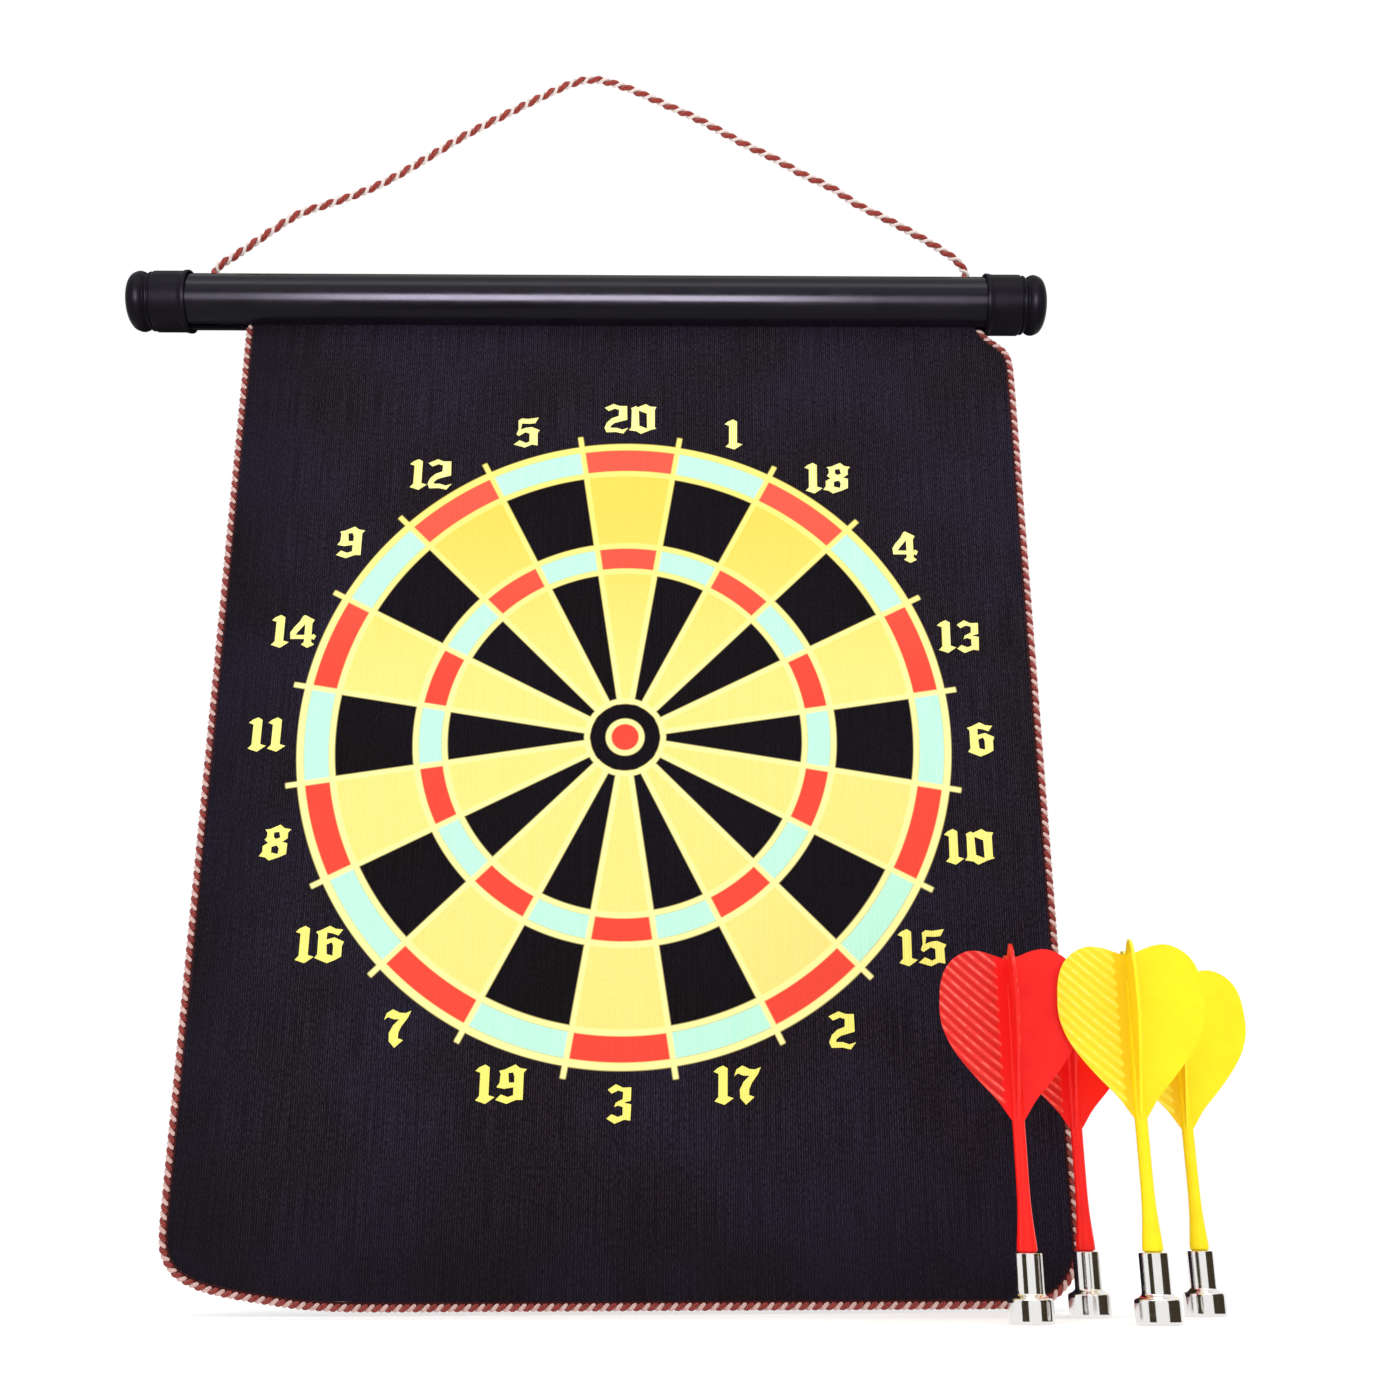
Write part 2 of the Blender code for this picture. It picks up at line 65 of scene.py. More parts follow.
# ---- places taken from the frame ----
TUBE_R = 10.9 * MM
TUBE_HALF, _, TUBE_TOP_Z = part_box("scroll_tube")[1]
TUBE_Z = TUBE_TOP_Z - TUBE_R
TUBE_BOTTOM_Z = TUBE_Z - TUBE_R
CAP_RIM_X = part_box("end_cap_right")[0].x
MAT_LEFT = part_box("piping_left_3")[0].x
PIPING_R = (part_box("piping_left_3")[1].x - MAT_LEFT) / 2
MAT_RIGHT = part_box("piping_right_3")[1].x
MAT_BOTTOM_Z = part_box("piping_bottom")[0].z
PIPING_TOP_Z = TUBE_BOTTOM_Z - 0.4 * MM
CLOTH_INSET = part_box("front_cloth_3")[0].x - MAT_LEFT
CLOTH_TOP_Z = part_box("front_cloth_1")[1].z
HINGES = [j["pos_m"][2] for j in frame["joints"] if j["name"].startswith("mat_roll_")]
LEVELS = [TUBE_BOTTOM_Z, *HINGES, MAT_BOTTOM_Z]
MIDDLES = [(a + b) / 2 for a, b in zip(LEVELS, LEVELS[1:])]
DARTS = {  # turn of each dart's vanes, in degrees
    "dart_red_front": -7, "dart_red_rear": -9, "dart_yellow_front": -10, "dart_yellow_rear": -12,
}
FLOOR_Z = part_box("dart_red_front_barrel")[0].z

# ---- sizes of the looks ----
CORD_D = 3.0 * MM
CORD_EXIT_H = 4.2 * MM  # where the free cord starts, above the top of the tube
KNOT_DEPTH = 2.2  # how far the cord goes on into the tube, in millimetres
CORD_LEAD = 6.9 * MM  # length of one whole twist of the hanging cord
PIPING_LEAD = 4.4 * MM
THREADS_AROUND, THREADS_ALONG = 9.0, 420.0  # of a strand: round it, and to the metre
RING_STEP = 0.5 * MM  # spacing of the rings of a twisted strand
ROW_STEP = 2.4 * MM  # spacing of the mat's rows, fine enough to bend smoothly
BEND_SHARE = 0.45  # how far a bend runs into a strip, as a share of the shorter one
SHEET_COLUMNS = 36
CORNER_R = 20 * MM
CORNER_ROWS = 26 * MM  # height over which the rows stand closer at the lower corners
TAPE_T = 1.6 * MM
CORD_FULL = 1.1  # soft outside of the cord over its nominal size
CORD_SHARES = (0.62, 0.38)  # radius of the red and of the white strand in that of the cord
PIPING_SHARES = (0.60, 0.48)
FLOOR_HALF = 4.0
TUBE_WALL = 1.2 * MM
SLOT_W = 3.2 * MM
HOLE_D = 4.0 * MM
MERGE_DISTANCE = 0.001 * MM
TUBE_SIDES = 120
STRAND_SIDES = 10
DRILL_SIDES = 32
ROUND_SIDES = 72

# darts, from the floor up
HEAD_R, HEAD_H = 6.4, 7.0  # in millimetres down to the gap
BARREL_R, BARREL_H = 4.1, 11.8
POCKET_R, POCKET_H = 5.3, 4.0
SOCKET_R, SOCKET_H = 2.6, 9.3
SHAFT_GAP = 0.3
SHAFT_H = 35.6 * MM
FLIGHT_H, FLIGHT_HALF_W = 49.8 * MM, 21.0 * MM
VANE_T = 0.8 * MM
VANE_COLUMNS, VANE_ROWS = 34, 81
RIB_H = 0.22 * MM
RIB_PITCH = 3.3 * MM
RIB_SLOPE = 18.5 * MM  # rise of a rib from the spine to the widest point
RIB_START = 0.18  # where the ribs end beside the spine, as a share of the width
RIB_CURVE = 1.15

# the printed board
BOARD_X, BOARD_Z = 0.0159, -0.2843
BOARD_TURN = math.radians(-0.4)
NUMBER_RADIUS = 127.5 * MM
NUMBER_HEIGHT = 12.8 * MM
NUMBER_GAP = 0.02  # between two digits, as a share of their height
INK_T = 0.12 * MM

# the cloth, and the print on it with its radii in millimetres
RIB_OF_CLOTH, CLOTH_RIB_DEPTH, SLUB_DEPTH = 0.80 * MM, 0.18 * MM, 0.10 * MM
BULL_R, BULL_EDGE, RING_R, PRINT_R, TICK_R = 4.9, 6.9, 12.5, 116.8, 120.9
TREBLE, DOUBLE = (65.3, 73.5), (105.3, 114.2)
HOOPS = ((RING_R, 14.6), (63.3, 65.3), (73.5, 75.6), (103.2, 105.3), (114.2, PRINT_R))
SPOKE_HALF, PRINT_SOFT = 0.95, 0.40
DIAL = (20, 1, 18, 4, 13, 6, 10, 15, 2, 17, 3, 19, 7, 16, 8, 11, 14, 9, 12, 5)

# Outlines, in millimetres. Route of the hanging cord: x, and height above the top of the tube.
CORD_ROUTE = [
    (-147.6, 2.3), (-147.3, 4), (-145.6, 6.2), (-141, 9.8), (-134.7, 15.2), (-118.3, 28.8),
    (-106.3, 34.2), (-93, 39.9), (-80.2, 47.2), (-63, 59.8), (-51.2, 68.5), (-32.8, 80.2),
    (-14.1, 91.4), (-5.5, 95.2), (0, 96), (5.5, 95.1), (16.1, 91), (30.2, 83.6), (43.8, 76.3),
    (62.1, 64.6), (74.7, 57.3), (85.9, 49.9), (97.5, 43.4), (107.4, 35.7), (118.8, 28.9),
    (129.8, 21.9), (140, 14.8), (146.2, 9.4), (148.9, 4.8), (149.3, 2.3),
]

# Upper right corner of the mat: x from the mat's right edge, and z from the tube's underside.
SHOULDER = [
    (-11.6, 0), (-9.6, -3), (-6, -6), (-2.5, -9.2), (-0.6, -13.5), (0, -20),
]

# Lower left corner, which runs on into a slant: x from the mat's left edge, z from its lower one.
LOWER_LEFT = [
    (0, 26), (0.8, 19), (3.2, 14), (7, 10.2), (12.4, 7.5), (18, 5.7), (27, 3.9), (36, 2.5), (47, 1),
    (60, 0.2), (75, 0),
]


def turned(degrees, axis):
    return Matrix.Rotation(math.radians(degrees), 4, axis)


def add_object(name, data):
    made = bpy.data.objects.new(name, data)
    bpy.context.scene.collection.objects.link(made)
    return made


# ---- camera ----

def make_camera():
    data = bpy.data.cameras.new("camera")
    data.lens = 41.12
    data.shift_x, data.shift_y = 0.0046, -0.0004
    data.clip_start = 0.01
    camera = add_object("camera", data)
    facing = turned(-0.939, "Z") @ turned(90 + 18.628, "X") @ turned(-0.261, "Z")
    camera.matrix_world = Matrix.Translation((0.03147, -0.54715, -0.45423)) @ facing
    bpy.context.scene.camera = camera


# ---- materials ----

def linear(colour):
    """Linear colour of an 8-bit sRGB one; other values stay as they are."""
    if not isinstance(colour, tuple) or len(colour) == 4:
        return colour
    shares = [part / 255 for part in colour]
    return (*[c / 12.92 if c <= 0.04045 else ((c + 0.055) / 1.055) ** 2.4 for c in shares], 1.0)


class Finish:
    """Short way to write the nodes of one material."""

    def __init__(self, name, roughness=0.5, metallic=0.0, specular=0.5):
        self.material = bpy.data.materials.new(name)
        self.material.use_nodes = True
        self.tree = self.material.node_tree
        self.shader = self.tree.nodes["Principled BSDF"]
        self.feed(self.shader, roughness=roughness, metallic=metallic)
        self.put(self.shader.inputs["Specular IOR Level"], specular)

    def done(self, **values):
        """The material, with these last inputs of its shader set or linked."""
        self.feed(self.shader, **values)
        return self.material

    def put(self, socket, value):
        if isinstance(value, bpy.types.NodeSocket):
            self.tree.links.new(value, socket)
        elif value is not None:
            socket.default_value = value

    def feed(self, node, **values):
        """Set or link inputs of a node, where base_color means Base Color."""
        for name, value in values.items():
            self.put(node.inputs[name.replace("_", " ").title()], value)
        return node.outputs[0]

    def node(self, kind, *values, **settings):
        """New node with its first inputs set or linked, except where a value is None."""
        made = self.tree.nodes.new(kind)
        for key, value in settings.items():
            setattr(made, key, value)
        for socket, value in zip(made.inputs, values):
            self.put(socket, value)
        return made

    def math(self, operation, *values):
        return self.node("ShaderNodeMath", *values, operation=operation).outputs[0]

    def plus(self, first, second):
        return self.math("ADD", first, second)

    def times(self, first, second):
        return self.math("MULTIPLY", first, second)

    def mix(self, factor, low, high):
        """Colour that runs from low to high as factor runs from 0 to 1."""
        made = self.node("ShaderNodeMix", factor, *[None] * 5, linear(low), linear(high),
                         data_type="RGBA")
        return made.outputs[2]

    def ramp(self, value, start, end, low=0.0, high=1.0):
        """Number that runs smoothly from low to high as value runs from start to end."""
        return self.node("ShaderNodeMapRange", value, start, end, low, high,
                         interpolation_type="SMOOTHSTEP").outputs[0]

    def uv(self, name="print"):
        return self.node("ShaderNodeUVMap", uv_map=name).outputs[0]

    def place(self):
        """Place on the object at rest, in metres."""
        return self.node("ShaderNodeTexCoord").outputs["Object"]

    def split(self, vector):
        return self.node("ShaderNodeSeparateXYZ", vector).outputs

    def noise(self, vector, scale, detail=3.0, stretch=None):
        """Noise with scale features to the metre, fewer where stretch is less than 1."""
        if stretch:
            scaled = self.node("ShaderNodeVectorMath", vector, stretch, operation="MULTIPLY")
            vector = scaled.outputs[0]
        return self.feed(self.node("ShaderNodeTexNoise"), vector=vector, scale=scale,
                         detail=detail, roughness=0.55)

    def bump(self, height, depth, strength=1.0, over=None):
        """Relief of height, which runs from 0 to 1, with a depth in metres."""
        return self.feed(self.node("ShaderNodeBump"), strength=strength, distance=depth,
                         height=height, normal=over)

    def cloth_ribs(self, place):
        """Upright ribs from 0 to 1: an even wave with a little of an uneven one."""
        across = self.split(place)[0]
        uneven = self.noise(place, 1700.0, 0.0, stretch=(1, 0.02, 1))
        sway = self.noise(place, 120.0, 1.0, stretch=(1, 0.05, 1))
        turns = self.plus(self.times(across, 1.0 / RIB_OF_CLOTH), sway)
        wave = self.math("SINE", self.times(turns, math.tau))
        uneven = self.math("MULTIPLY_ADD", uneven, 0.4, 0.3)
        return self.math("MULTIPLY_ADD", wave, 0.17, uneven)


def rope_finish(name, dark, light):
    """Soft spun yarn: fine threads that wind round each strand, with painted shade in the grooves
    between the threads.
    """
    look = Finish(name, roughness=0.9, specular=0.2)
    around, along, _ = look.split(look.uv("strand"))
    wound = look.plus(look.times(around, THREADS_AROUND), look.times(along, THREADS_ALONG))
    ridge = look.ramp(look.math("SINE", look.times(wound, math.tau)), -1.0, 1.0)
    patch = look.noise(look.place(), 900.0)
    # painted shade: from the dark colour in each groove to the light one on each thread's crest, in
    # random patches
    shade = look.times(ridge, look.ramp(patch, 0.25, 0.75, 0.55, 1.0))
    fuzz = look.bump(look.noise(look.place(), 4000.0, 2.0), 0.05 * MM, 0.6)
    return look.done(
        base_color=look.mix(shade, dark, light), sheen_weight=0.35, sheen_roughness=0.4,
        normal=look.bump(ridge, 0.2 * MM, 0.9, fuzz))


def cloth_colour(look):
    """Colour, ribs and slubs of the black cloth, with painted shade that darkens it towards its left and
    lower edges.
    """
    place = look.uv()
    ribs = look.cloth_ribs(place)
    slubs = look.noise(place, 2600.0, 1.0, stretch=(1, 0.3, 1))
    clouds = look.noise(place, 16.0, 2.0)
    u, v, _ = look.split(place)
    # painted shade: the lighter rib colour fades out towards the cloth's left and lower edges
    edge_shade = look.times(look.ramp(u, -0.150, -0.105, 0.45, 1.0),
            look.ramp(v, -0.195, -0.125, 0.45, 1.0))
    yarn = look.times(look.ramp(ribs, 0.32, 0.70), look.ramp(slubs, 0.25, 0.75))
    cloudy = look.ramp(clouds, 0.35, 0.65)
    tone = look.mix(cloudy, (54, 46, 55), (55, 49, 68))
    base = look.mix(cloudy, (18, 14, 17), (23, 19, 28))
    return look.mix(look.times(yarn, edge_shade), base, tone), ribs, slubs


def plain_cloth_finish(name):
    look = Finish(name, roughness=0.92, specular=0.05)
    colour, ribs, slubs = cloth_colour(look)
    weave = look.bump(slubs, SLUB_DEPTH, 0.5)
    return look.done(base_color=colour, sheen_weight=0.03,
            normal=look.bump(ribs, CLOTH_RIB_DEPTH, 0.8, weave))


def printed_cloth_finish():
    """The dartboard, printed on the ribbed cloth by rules of radius and angle."""
    look = Finish("printed_cloth", roughness=0.88, specular=0.05)
    mix, ramp, times = look.mix, look.ramp, look.times
    u, v, _ = look.split(look.uv())
    x, z = times(u, 1000.0), times(v, 1000.0)
    radius = look.math("SQRT", look.plus(times(x, x), times(z, z)))
    bearing = look.math("DIVIDE", look.math("ARCTAN2", x, z), math.tau / 20)
    shifted = look.plus(bearing, 20.5)
    sector = look.math("FLOOR", shifted)
    share = look.math("SUBTRACT", shifted, sector)
    odd = look.math("MODULO", sector, 2.0)

    def opposite(mask):
        return look.math("SUBTRACT", 1.0, mask)

    def beyond(value, edge):
        return ramp(value, edge - PRINT_SOFT, edge + PRINT_SOFT)

    def band(inner, outer):
        return look.math("SUBTRACT", beyond(radius, inner), beyond(radius, outer))

    def either(*masks):
        total = masks[0]
        for mask in masks[1:]:
            total = look.math("MAXIMUM", total, mask)
        return total

    nearest = look.math("MINIMUM", share, opposite(share))
    off_line = times(radius, times(nearest, math.tau / 20))
    cloth, ribs, slubs = cloth_colour(look)
    worn = times(ramp(ribs, 0.2, 0.8), ramp(slubs, 0.1, 0.8))
    high = ramp(z, 10.0, 95.0)
    yellow = mix(high, (249, 231, 142), (246, 214, 97))
    wedge = mix(worn, mix(0.35, yellow, (226, 190, 60)), yellow)
    black = mix(0.7, cloth, (14, 11, 12))
    line = mix(high, (253, 240, 158), (252, 232, 126))
    bright = mix(high, (240, 80, 64), (238, 100, 80))
    red = mix(worn, mix(0.3, bright, (200, 34, 26)), bright)
    mint = mix(worn, (176, 236, 208), (204, 246, 226))

    rings = either(band(*TREBLE), band(*DOUBLE))
    spokes = opposite(beyond(off_line, SPOKE_HALF))
    lines = either(spokes, *[band(*hoop) for hoop in HOOPS])
    colour = mix(rings, mix(odd, wedge, black), mix(odd, red, mint))
    colour = mix(lines, colour, line)
    inked = either(rings, lines, opposite(odd))
    ticks = times(spokes, opposite(beyond(radius, TICK_R)))
    outside = beyond(radius, PRINT_R)
    colour = mix(outside, colour, mix(ticks, cloth, line))
    inked = look.plus(times(inked, opposite(outside)), times(ticks, outside))
    centre = opposite(beyond(radius, RING_R))
    bull = mix(beyond(radius, BULL_R), red, mix(beyond(radius, BULL_EDGE), line, black))
    inked = mix(centre, inked, opposite(beyond(radius, BULL_EDGE)))
    weave = look.bump(slubs, SLUB_DEPTH, 0.4)
    return look.done(
        base_color=mix(centre, colour, bull), roughness=ramp(inked, 0.0, 1.0, 0.92, 0.62),
        normal=look.bump(ribs, CLOTH_RIB_DEPTH, 0.6, weave))


def ink_finish():
    look = Finish("number_ink", roughness=0.62, specular=0.14)
    place = look.uv()
    ribs = look.cloth_ribs(place)
    pale = look.ramp(look.split(place)[1], -NUMBER_RADIUS, NUMBER_RADIUS)
    ink = look.mix(pale, (250, 240, 118), (249, 245, 170))
    return look.done(
        base_color=look.mix(look.ramp(ribs, 0.3, 0.6), (232, 222, 110), ink),
        normal=look.bump(ribs, CLOTH_RIB_DEPTH, 0.5))


def rubber_finish():
    """Flexible magnet sheet: dark, chalky, with faint lines from its rolling."""
    look = Finish("magnetic_rubber", roughness=0.8, specular=0.25)
    place = look.uv()
    grain = look.noise(place, 1800.0)
    lines = look.noise(place, 700.0, stretch=(0.05, 1, 1))
    return look.done(
        base_color=look.mix(lines, (48, 42, 40), (74, 66, 62)),
        roughness=look.ramp(grain, 0.3, 0.7, 0.7, 0.88),
        normal=look.bump(grain, 0.04 * MM, 0.6))


def black_plastic_finish(name, colour, roughness, specular, grain_depth):
    look = Finish(name, roughness=roughness, specular=specular)
    place = look.place()
    clouds = look.noise(place, 60.0)
    grain = look.noise(place, 3500.0, 2.0)
    scuffs = look.noise(place, 900.0, 2.0, stretch=(0.06, 1, 1))
    haze = look.plus(look.ramp(clouds, 0.3, 0.7, 0.0, 0.05),
            look.ramp(scuffs, 0.55, 0.8, 0.0, 0.06))
    return look.done(
        base_color=look.mix(clouds, colour, (20, 17, 25)),
        roughness=look.plus(haze, roughness), normal=look.bump(grain, grain_depth, 0.5))


def moulded_finish(name, base, deep, glow):
    """Smooth moulded plastic, slightly translucent."""
    look = Finish(name, roughness=0.4, specular=0.3)
    place = look.place()
    clouds = look.noise(place, 120.0)
    grain = look.noise(place, 5000.0, 2.0)
    return look.done(
        base_color=look.mix(look.ramp(clouds, 0.3, 0.75), base, deep),
        roughness=look.ramp(clouds, 0.3, 0.7, 0.28, 0.42),
        subsurface_weight=0.08, subsurface_radius=glow, subsurface_scale=2 * MM,
        normal=look.bump(grain, 0.01 * MM, 0.5))


def ribbed_finish(name, spine_shade, groove, ridge, crest_glint):
    """Ribbed side of a vane: its colour follows the ribs of the mesh, with painted shade in the grooves
    and beside the spine, and a painted highlight and glint on the crests.
    """
    look = Finish(name, roughness=0.4, specular=0.25)
    across, height, _ = look.split(look.uv("vane"))
    lift = look.times(RIB_SLOPE, look.math("POWER", across, RIB_CURVE))
    phase = look.times(look.math("SUBTRACT", height, lift), math.tau / RIB_PITCH)
    wave = look.math("COSINE", phase)
    crest = look.ramp(wave, -0.9, 1.0)
    patch = look.noise(look.place(), 400.0)
    # painted shade and highlight: grooves take the darker colour, crests the lighter one
    colour = look.mix(crest, groove, ridge)
    # painted glint: crests turn to the glint colour in patches
    bright = look.times(look.ramp(wave, 0.5, 1.0), look.ramp(patch, 0.35, 0.7))
    # painted shade: the smooth strip beside the spine, in the corner between two vanes, takes the
    # spine's darker colour
    teeth = look.plus(across, look.times(wave, 0.02))
    ribbed = look.ramp(teeth, RIB_START - 0.01, RIB_START + 0.02)
    return look.done(
        base_color=look.mix(ribbed, spine_shade, look.mix(bright, colour, crest_glint)),
        roughness=look.ramp(crest, 0.0, 1.0, 0.5, 0.3),
        normal=look.bump(patch, 0.02 * MM, 0.4))


def metal_finish(name, dark, light, roughness, lines_along, fine=True):
    """Metal with the fine marks of its turning or brushing."""
    look = Finish(name, roughness=roughness, metallic=1.0)
    place = look.place()
    marks = look.noise(place, 2500.0, 2.0, stretch=lines_along)
    clouds = look.noise(place, 150.0)
    return look.done(
        base_color=look.mix(clouds, dark, light),
        roughness=look.ramp(marks, 0.3, 0.7, roughness * 0.7, roughness * 1.5),
        normal=look.bump(marks, 0.004 * MM if fine else 0.01 * MM, 0.4))


def floor_finish():
    look = Finish("pale_floor", roughness=0.9, specular=0.1)
    grain = look.noise(look.place(), 40.0)
    return look.done(
        base_color=look.mix(grain, (0.96, 0.96, 0.96, 1), (0.99, 0.99, 0.99, 1)),
        emission_color=WHITE, emission_strength=0.22)


# ---- shape helpers ----

def add_piece(name, mesh, *finishes, sharp=40):
    mesh.name = name
    for finish in finishes:
        mesh.materials.append(finish)
    mesh.shade_smooth()
    mesh.set_sharp_from_angle(angle=math.radians(sharp))
    return add_object(name, mesh)


def face_out(mesh):
    """Turn the faces of closed bodies outwards."""
    bm = bmesh.new()
    bm.from_mesh(mesh)
    bmesh.ops.recalc_face_normals(bm, faces=bm.faces)
    bm.to_mesh(mesh)
    bm.free()
    return mesh


def smooth_points(points, fine=12):
    """Points of the Catmull-Rom curve through the given ones."""
    points = np.array(points, float)
    padded = np.vstack([points[:1], points, points[-1:]])
    curve = []
    for p0, p1, p2, p3 in zip(padded, padded[1:], padded[2:], padded[3:]):
        for t in np.arange(fine) / fine:
            squared = (2 * p0 - 5 * p1 + 4 * p2 - p3) * t * t
            cubed = (3 * p1 - p0 - 3 * p2 + p3) * t ** 3
            curve.append(0.5 * (2 * p1 + (p2 - p0) * t + squared + cubed))
    return np.vstack([curve, points[-1:]])


def travelled_along(path):
    """Length walked along a path, at each of its points."""
    steps = np.linalg.norm(np.diff(path, axis=0), axis=1)
    return np.concatenate([[0.0], np.cumsum(steps)])


def even_points(path, step):
    walked = travelled_along(path)
    wanted = np.linspace(0, walked[-1], round(walked[-1] / step) + 1)
    return np.column_stack([np.interp(wanted, walked, axis) for axis in path.T])


def in_plane(points):
    """Points (x, z) as places in the plane y = 0."""
    return np.insert(np.array(points, float), 1, 0.0, axis=1)


def arc(centre_x, centre_z, radius, start_deg, end_deg, steps):
    angles = np.radians(np.linspace(start_deg, end_deg, steps + 1))
    return np.column_stack([centre_x + radius * np.cos(angles), centre_z + radius * np.sin(angles)])


def evaluated_mesh(piece):
    graph = bpy.context.evaluated_depsgraph_get()
    return bpy.data.meshes.new_from_object(piece.evaluated_get(graph))


def mesh_of(bm, name):
    mesh = bpy.data.meshes.new(name)
    bm.to_mesh(mesh)
    bm.free()
    return mesh


def flat_mesh(name, cells, half):
    bm = bmesh.new()
    bmesh.ops.create_grid(bm, x_segments=cells, y_segments=cells, size=half)
    return mesh_of(bm, name)


def turned_mesh(name, profile, sides=ROUND_SIDES):
    """Closed body turned about Z from a profile of (radius, z) that starts and ends on it."""
    bm = bmesh.new()
    verts = [bm.verts.new((radius, 0, z)) for radius, z in profile]
    edges = [bm.edges.new(pair) for pair in zip(verts, verts[1:])]
    bmesh.ops.spin(bm, geom=verts + edges, axis=(0, 0, 1), cent=(0, 0, 0),
            angle=math.tau, steps=sides, use_merge=True)
    bmesh.ops.remove_doubles(bm, verts=bm.verts, dist=MERGE_DISTANCE)
    bmesh.ops.recalc_face_normals(bm, faces=bm.faces)
    return mesh_of(bm, name)


def mesh_from(name, points, faces, slots):
    mesh = bpy.data.meshes.new(name)
    mesh.from_pydata(points, [], faces)
    mesh.polygons.foreach_set("material_index", slots)
    return mesh


def ring_mesh(name, bodies):
    """Closed bodies, each made of rings (rings, points, 3), its length at each ring and a finish."""
    verts, faces, uvs, slots = [], [], [], []
    for rings, along, slot in bodies:
        sides = rings.shape[1]
        starts = [len(verts) + i * sides for i in range(len(rings))]
        verts.extend(map(tuple, rings.reshape(-1, 3)))
        for low, high, near, far in zip(starts, starts[1:], along, along[1:]):
            for j in range(sides):
                k = (j + 1) % sides
                faces.append((low + j, low + k, high + k, high + j))
                left, right = j / sides, (j + 1) / sides
                uvs += [(left, near), (right, near), (right, far), (left, far)]
        for start, place in ((starts[0], along[0]), (starts[-1], along[-1])):
            faces.append(tuple(range(start, start + sides)))
            uvs += [(j / sides, place) for j in range(sides)]
        slots += [slot] * (len(faces) - len(slots))
    mesh = mesh_from(name, verts, faces, slots)
    layer = mesh.uv_layers.new(name="strand")
    layer.data.foreach_set("uv", np.array(uvs, np.float32).ravel())
    return face_out(mesh)


def slab_faces(shape):
    """Faces of a slab with two grids of points of this shape, and how many its front has."""
    size = shape[0] * shape[1]
    index = np.arange(size).reshape(shape)
    quads = np.stack([index[:-1, :-1], index[:-1, 1:], index[1:, 1:], index[1:, :-1]], axis=2)
    front = quads.reshape(-1, 4)
    rim = np.concatenate([index[0], index[1:, -1], index[-1, -2::-1], index[-2:0:-1, 0]])
    ahead = np.roll(rim, -1)
    walls = np.column_stack([ahead, rim, rim + size, ahead + size])
    return np.vstack([front, front[:, ::-1] + size, walls]), len(front)


def map_points(mesh, uv_name, uvs):
    """A map with one place for each point of the mesh."""
    corners = np.empty(len(mesh.loops), np.int32)
    mesh.loops.foreach_get("vertex_index", corners)
    layer = mesh.uv_layers.new(name=uv_name)
    layer.data.foreach_set("uv", np.asarray(uvs, np.float32)[corners].ravel())


def points_of(mesh):
    points = np.empty(len(mesh.vertices) * 3, np.float32)
    mesh.vertices.foreach_get("co", points)
    return points.reshape(-1, 3).astype(float)


def map_print(mesh):
    """The print's own map: metres from the centre of the board, turned with it."""
    points = points_of(mesh)
    x, z = points[:, 0] - BOARD_X, points[:, 2] - BOARD_Z
    c, s = math.cos(-BOARD_TURN), math.sin(-BOARD_TURN)
    map_points(mesh, "print", np.column_stack([c * x - s * z, s * x + c * z]))


# ---- twisted cords ----

def unit(vectors):
    return vectors / np.linalg.norm(vectors, axis=1)[:, None]


def frames_along(path):
    """Directions along a path and two across it; the first of them stays close to Y."""
    along = unit(np.gradient(path, axis=0))
    side = np.tile([0.0, 1.0, 0.0], (len(path), 1))
    side = unit(side - np.sum(side * along, axis=1)[:, None] * along)
    return along, side, np.cross(along, side)


def strand_rings(path, radius, lead, strand, share):
    """Rings of one of two strands wound round a path, with its share of the cord's radius."""
    _, side, other = frames_along(path)
    turn = math.pi * strand - math.tau * travelled_along(path) / lead
    outward = np.cos(turn)[:, None] * side + np.sin(turn)[:, None] * other
    centres = path + (1 - share) * radius * outward
    beside = np.cross(unit(np.gradient(centres, axis=0)), outward)
    angles = math.tau * np.arange(STRAND_SIDES)[:, None] / STRAND_SIDES
    around = np.cos(angles) * outward[:, None] + np.sin(angles) * beside[:, None]
    return centres[:, None] + share * radius * around


def cord_piece(name, bodies, walked, low, high, finishes):
    """Piece of a cord or piping between two points of its path."""
    part = slice(low, high + 1)
    mesh = ring_mesh(name, [(rings[part], walked[part], k) for k, rings in enumerate(bodies)])
    return add_piece(name, mesh, *finishes)


def make_hanging_cord(finishes):
    """The cord, and at each hole a short stretch of it as a piece of its own."""
    first, last = CORD_ROUTE[0][0], CORD_ROUTE[-1][0]
    route = [(first, -KNOT_DEPTH), (first, -0.3 * KNOT_DEPTH), *CORD_ROUTE,
             (last, -0.3 * KNOT_DEPTH), (last, -KNOT_DEPTH)]
    curve = smooth_points(in_plane([(x * MM, TUBE_TOP_Z + height * MM) for x, height in route]))
    path = even_points(curve, RING_STEP)
    walked = travelled_along(path)
    strands = [strand_rings(path, CORD_FULL * CORD_D / 2, CORD_LEAD, k, share)
               for k, share in enumerate(CORD_SHARES)]
    exit_z = TUBE_TOP_Z + CORD_EXIT_H
    above = np.flatnonzero(path[:, 2] >= exit_z)
    start, end = above[0], above[-1]

    for name, low, high in (("cord_exit_left", 0, start), ("cord_exit_right", end, len(path) - 1)):
        piece = cord_piece(name, strands, walked, low, high, finishes)
        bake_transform(piece)
    cord = cord_piece("twisted_hanging_cord", strands, walked, start, end, finishes)
    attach(cord, "cord")
    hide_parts("hanging_cord")


# ---- edges of the mat ----

def inset_edge(points, start_x, start_z, inset):
    """Edge of the mat through points counted from a start, as (x, z), moved inwards by inset.

    The mat lies to the left of the way that the points run.
    """
    curve = smooth_points([(start_x + x * MM, start_z + z * MM) for x, z in points])
    along = unit(np.gradient(curve, axis=0))
    return curve + inset * np.column_stack([-along[:, 1], along[:, 0]])


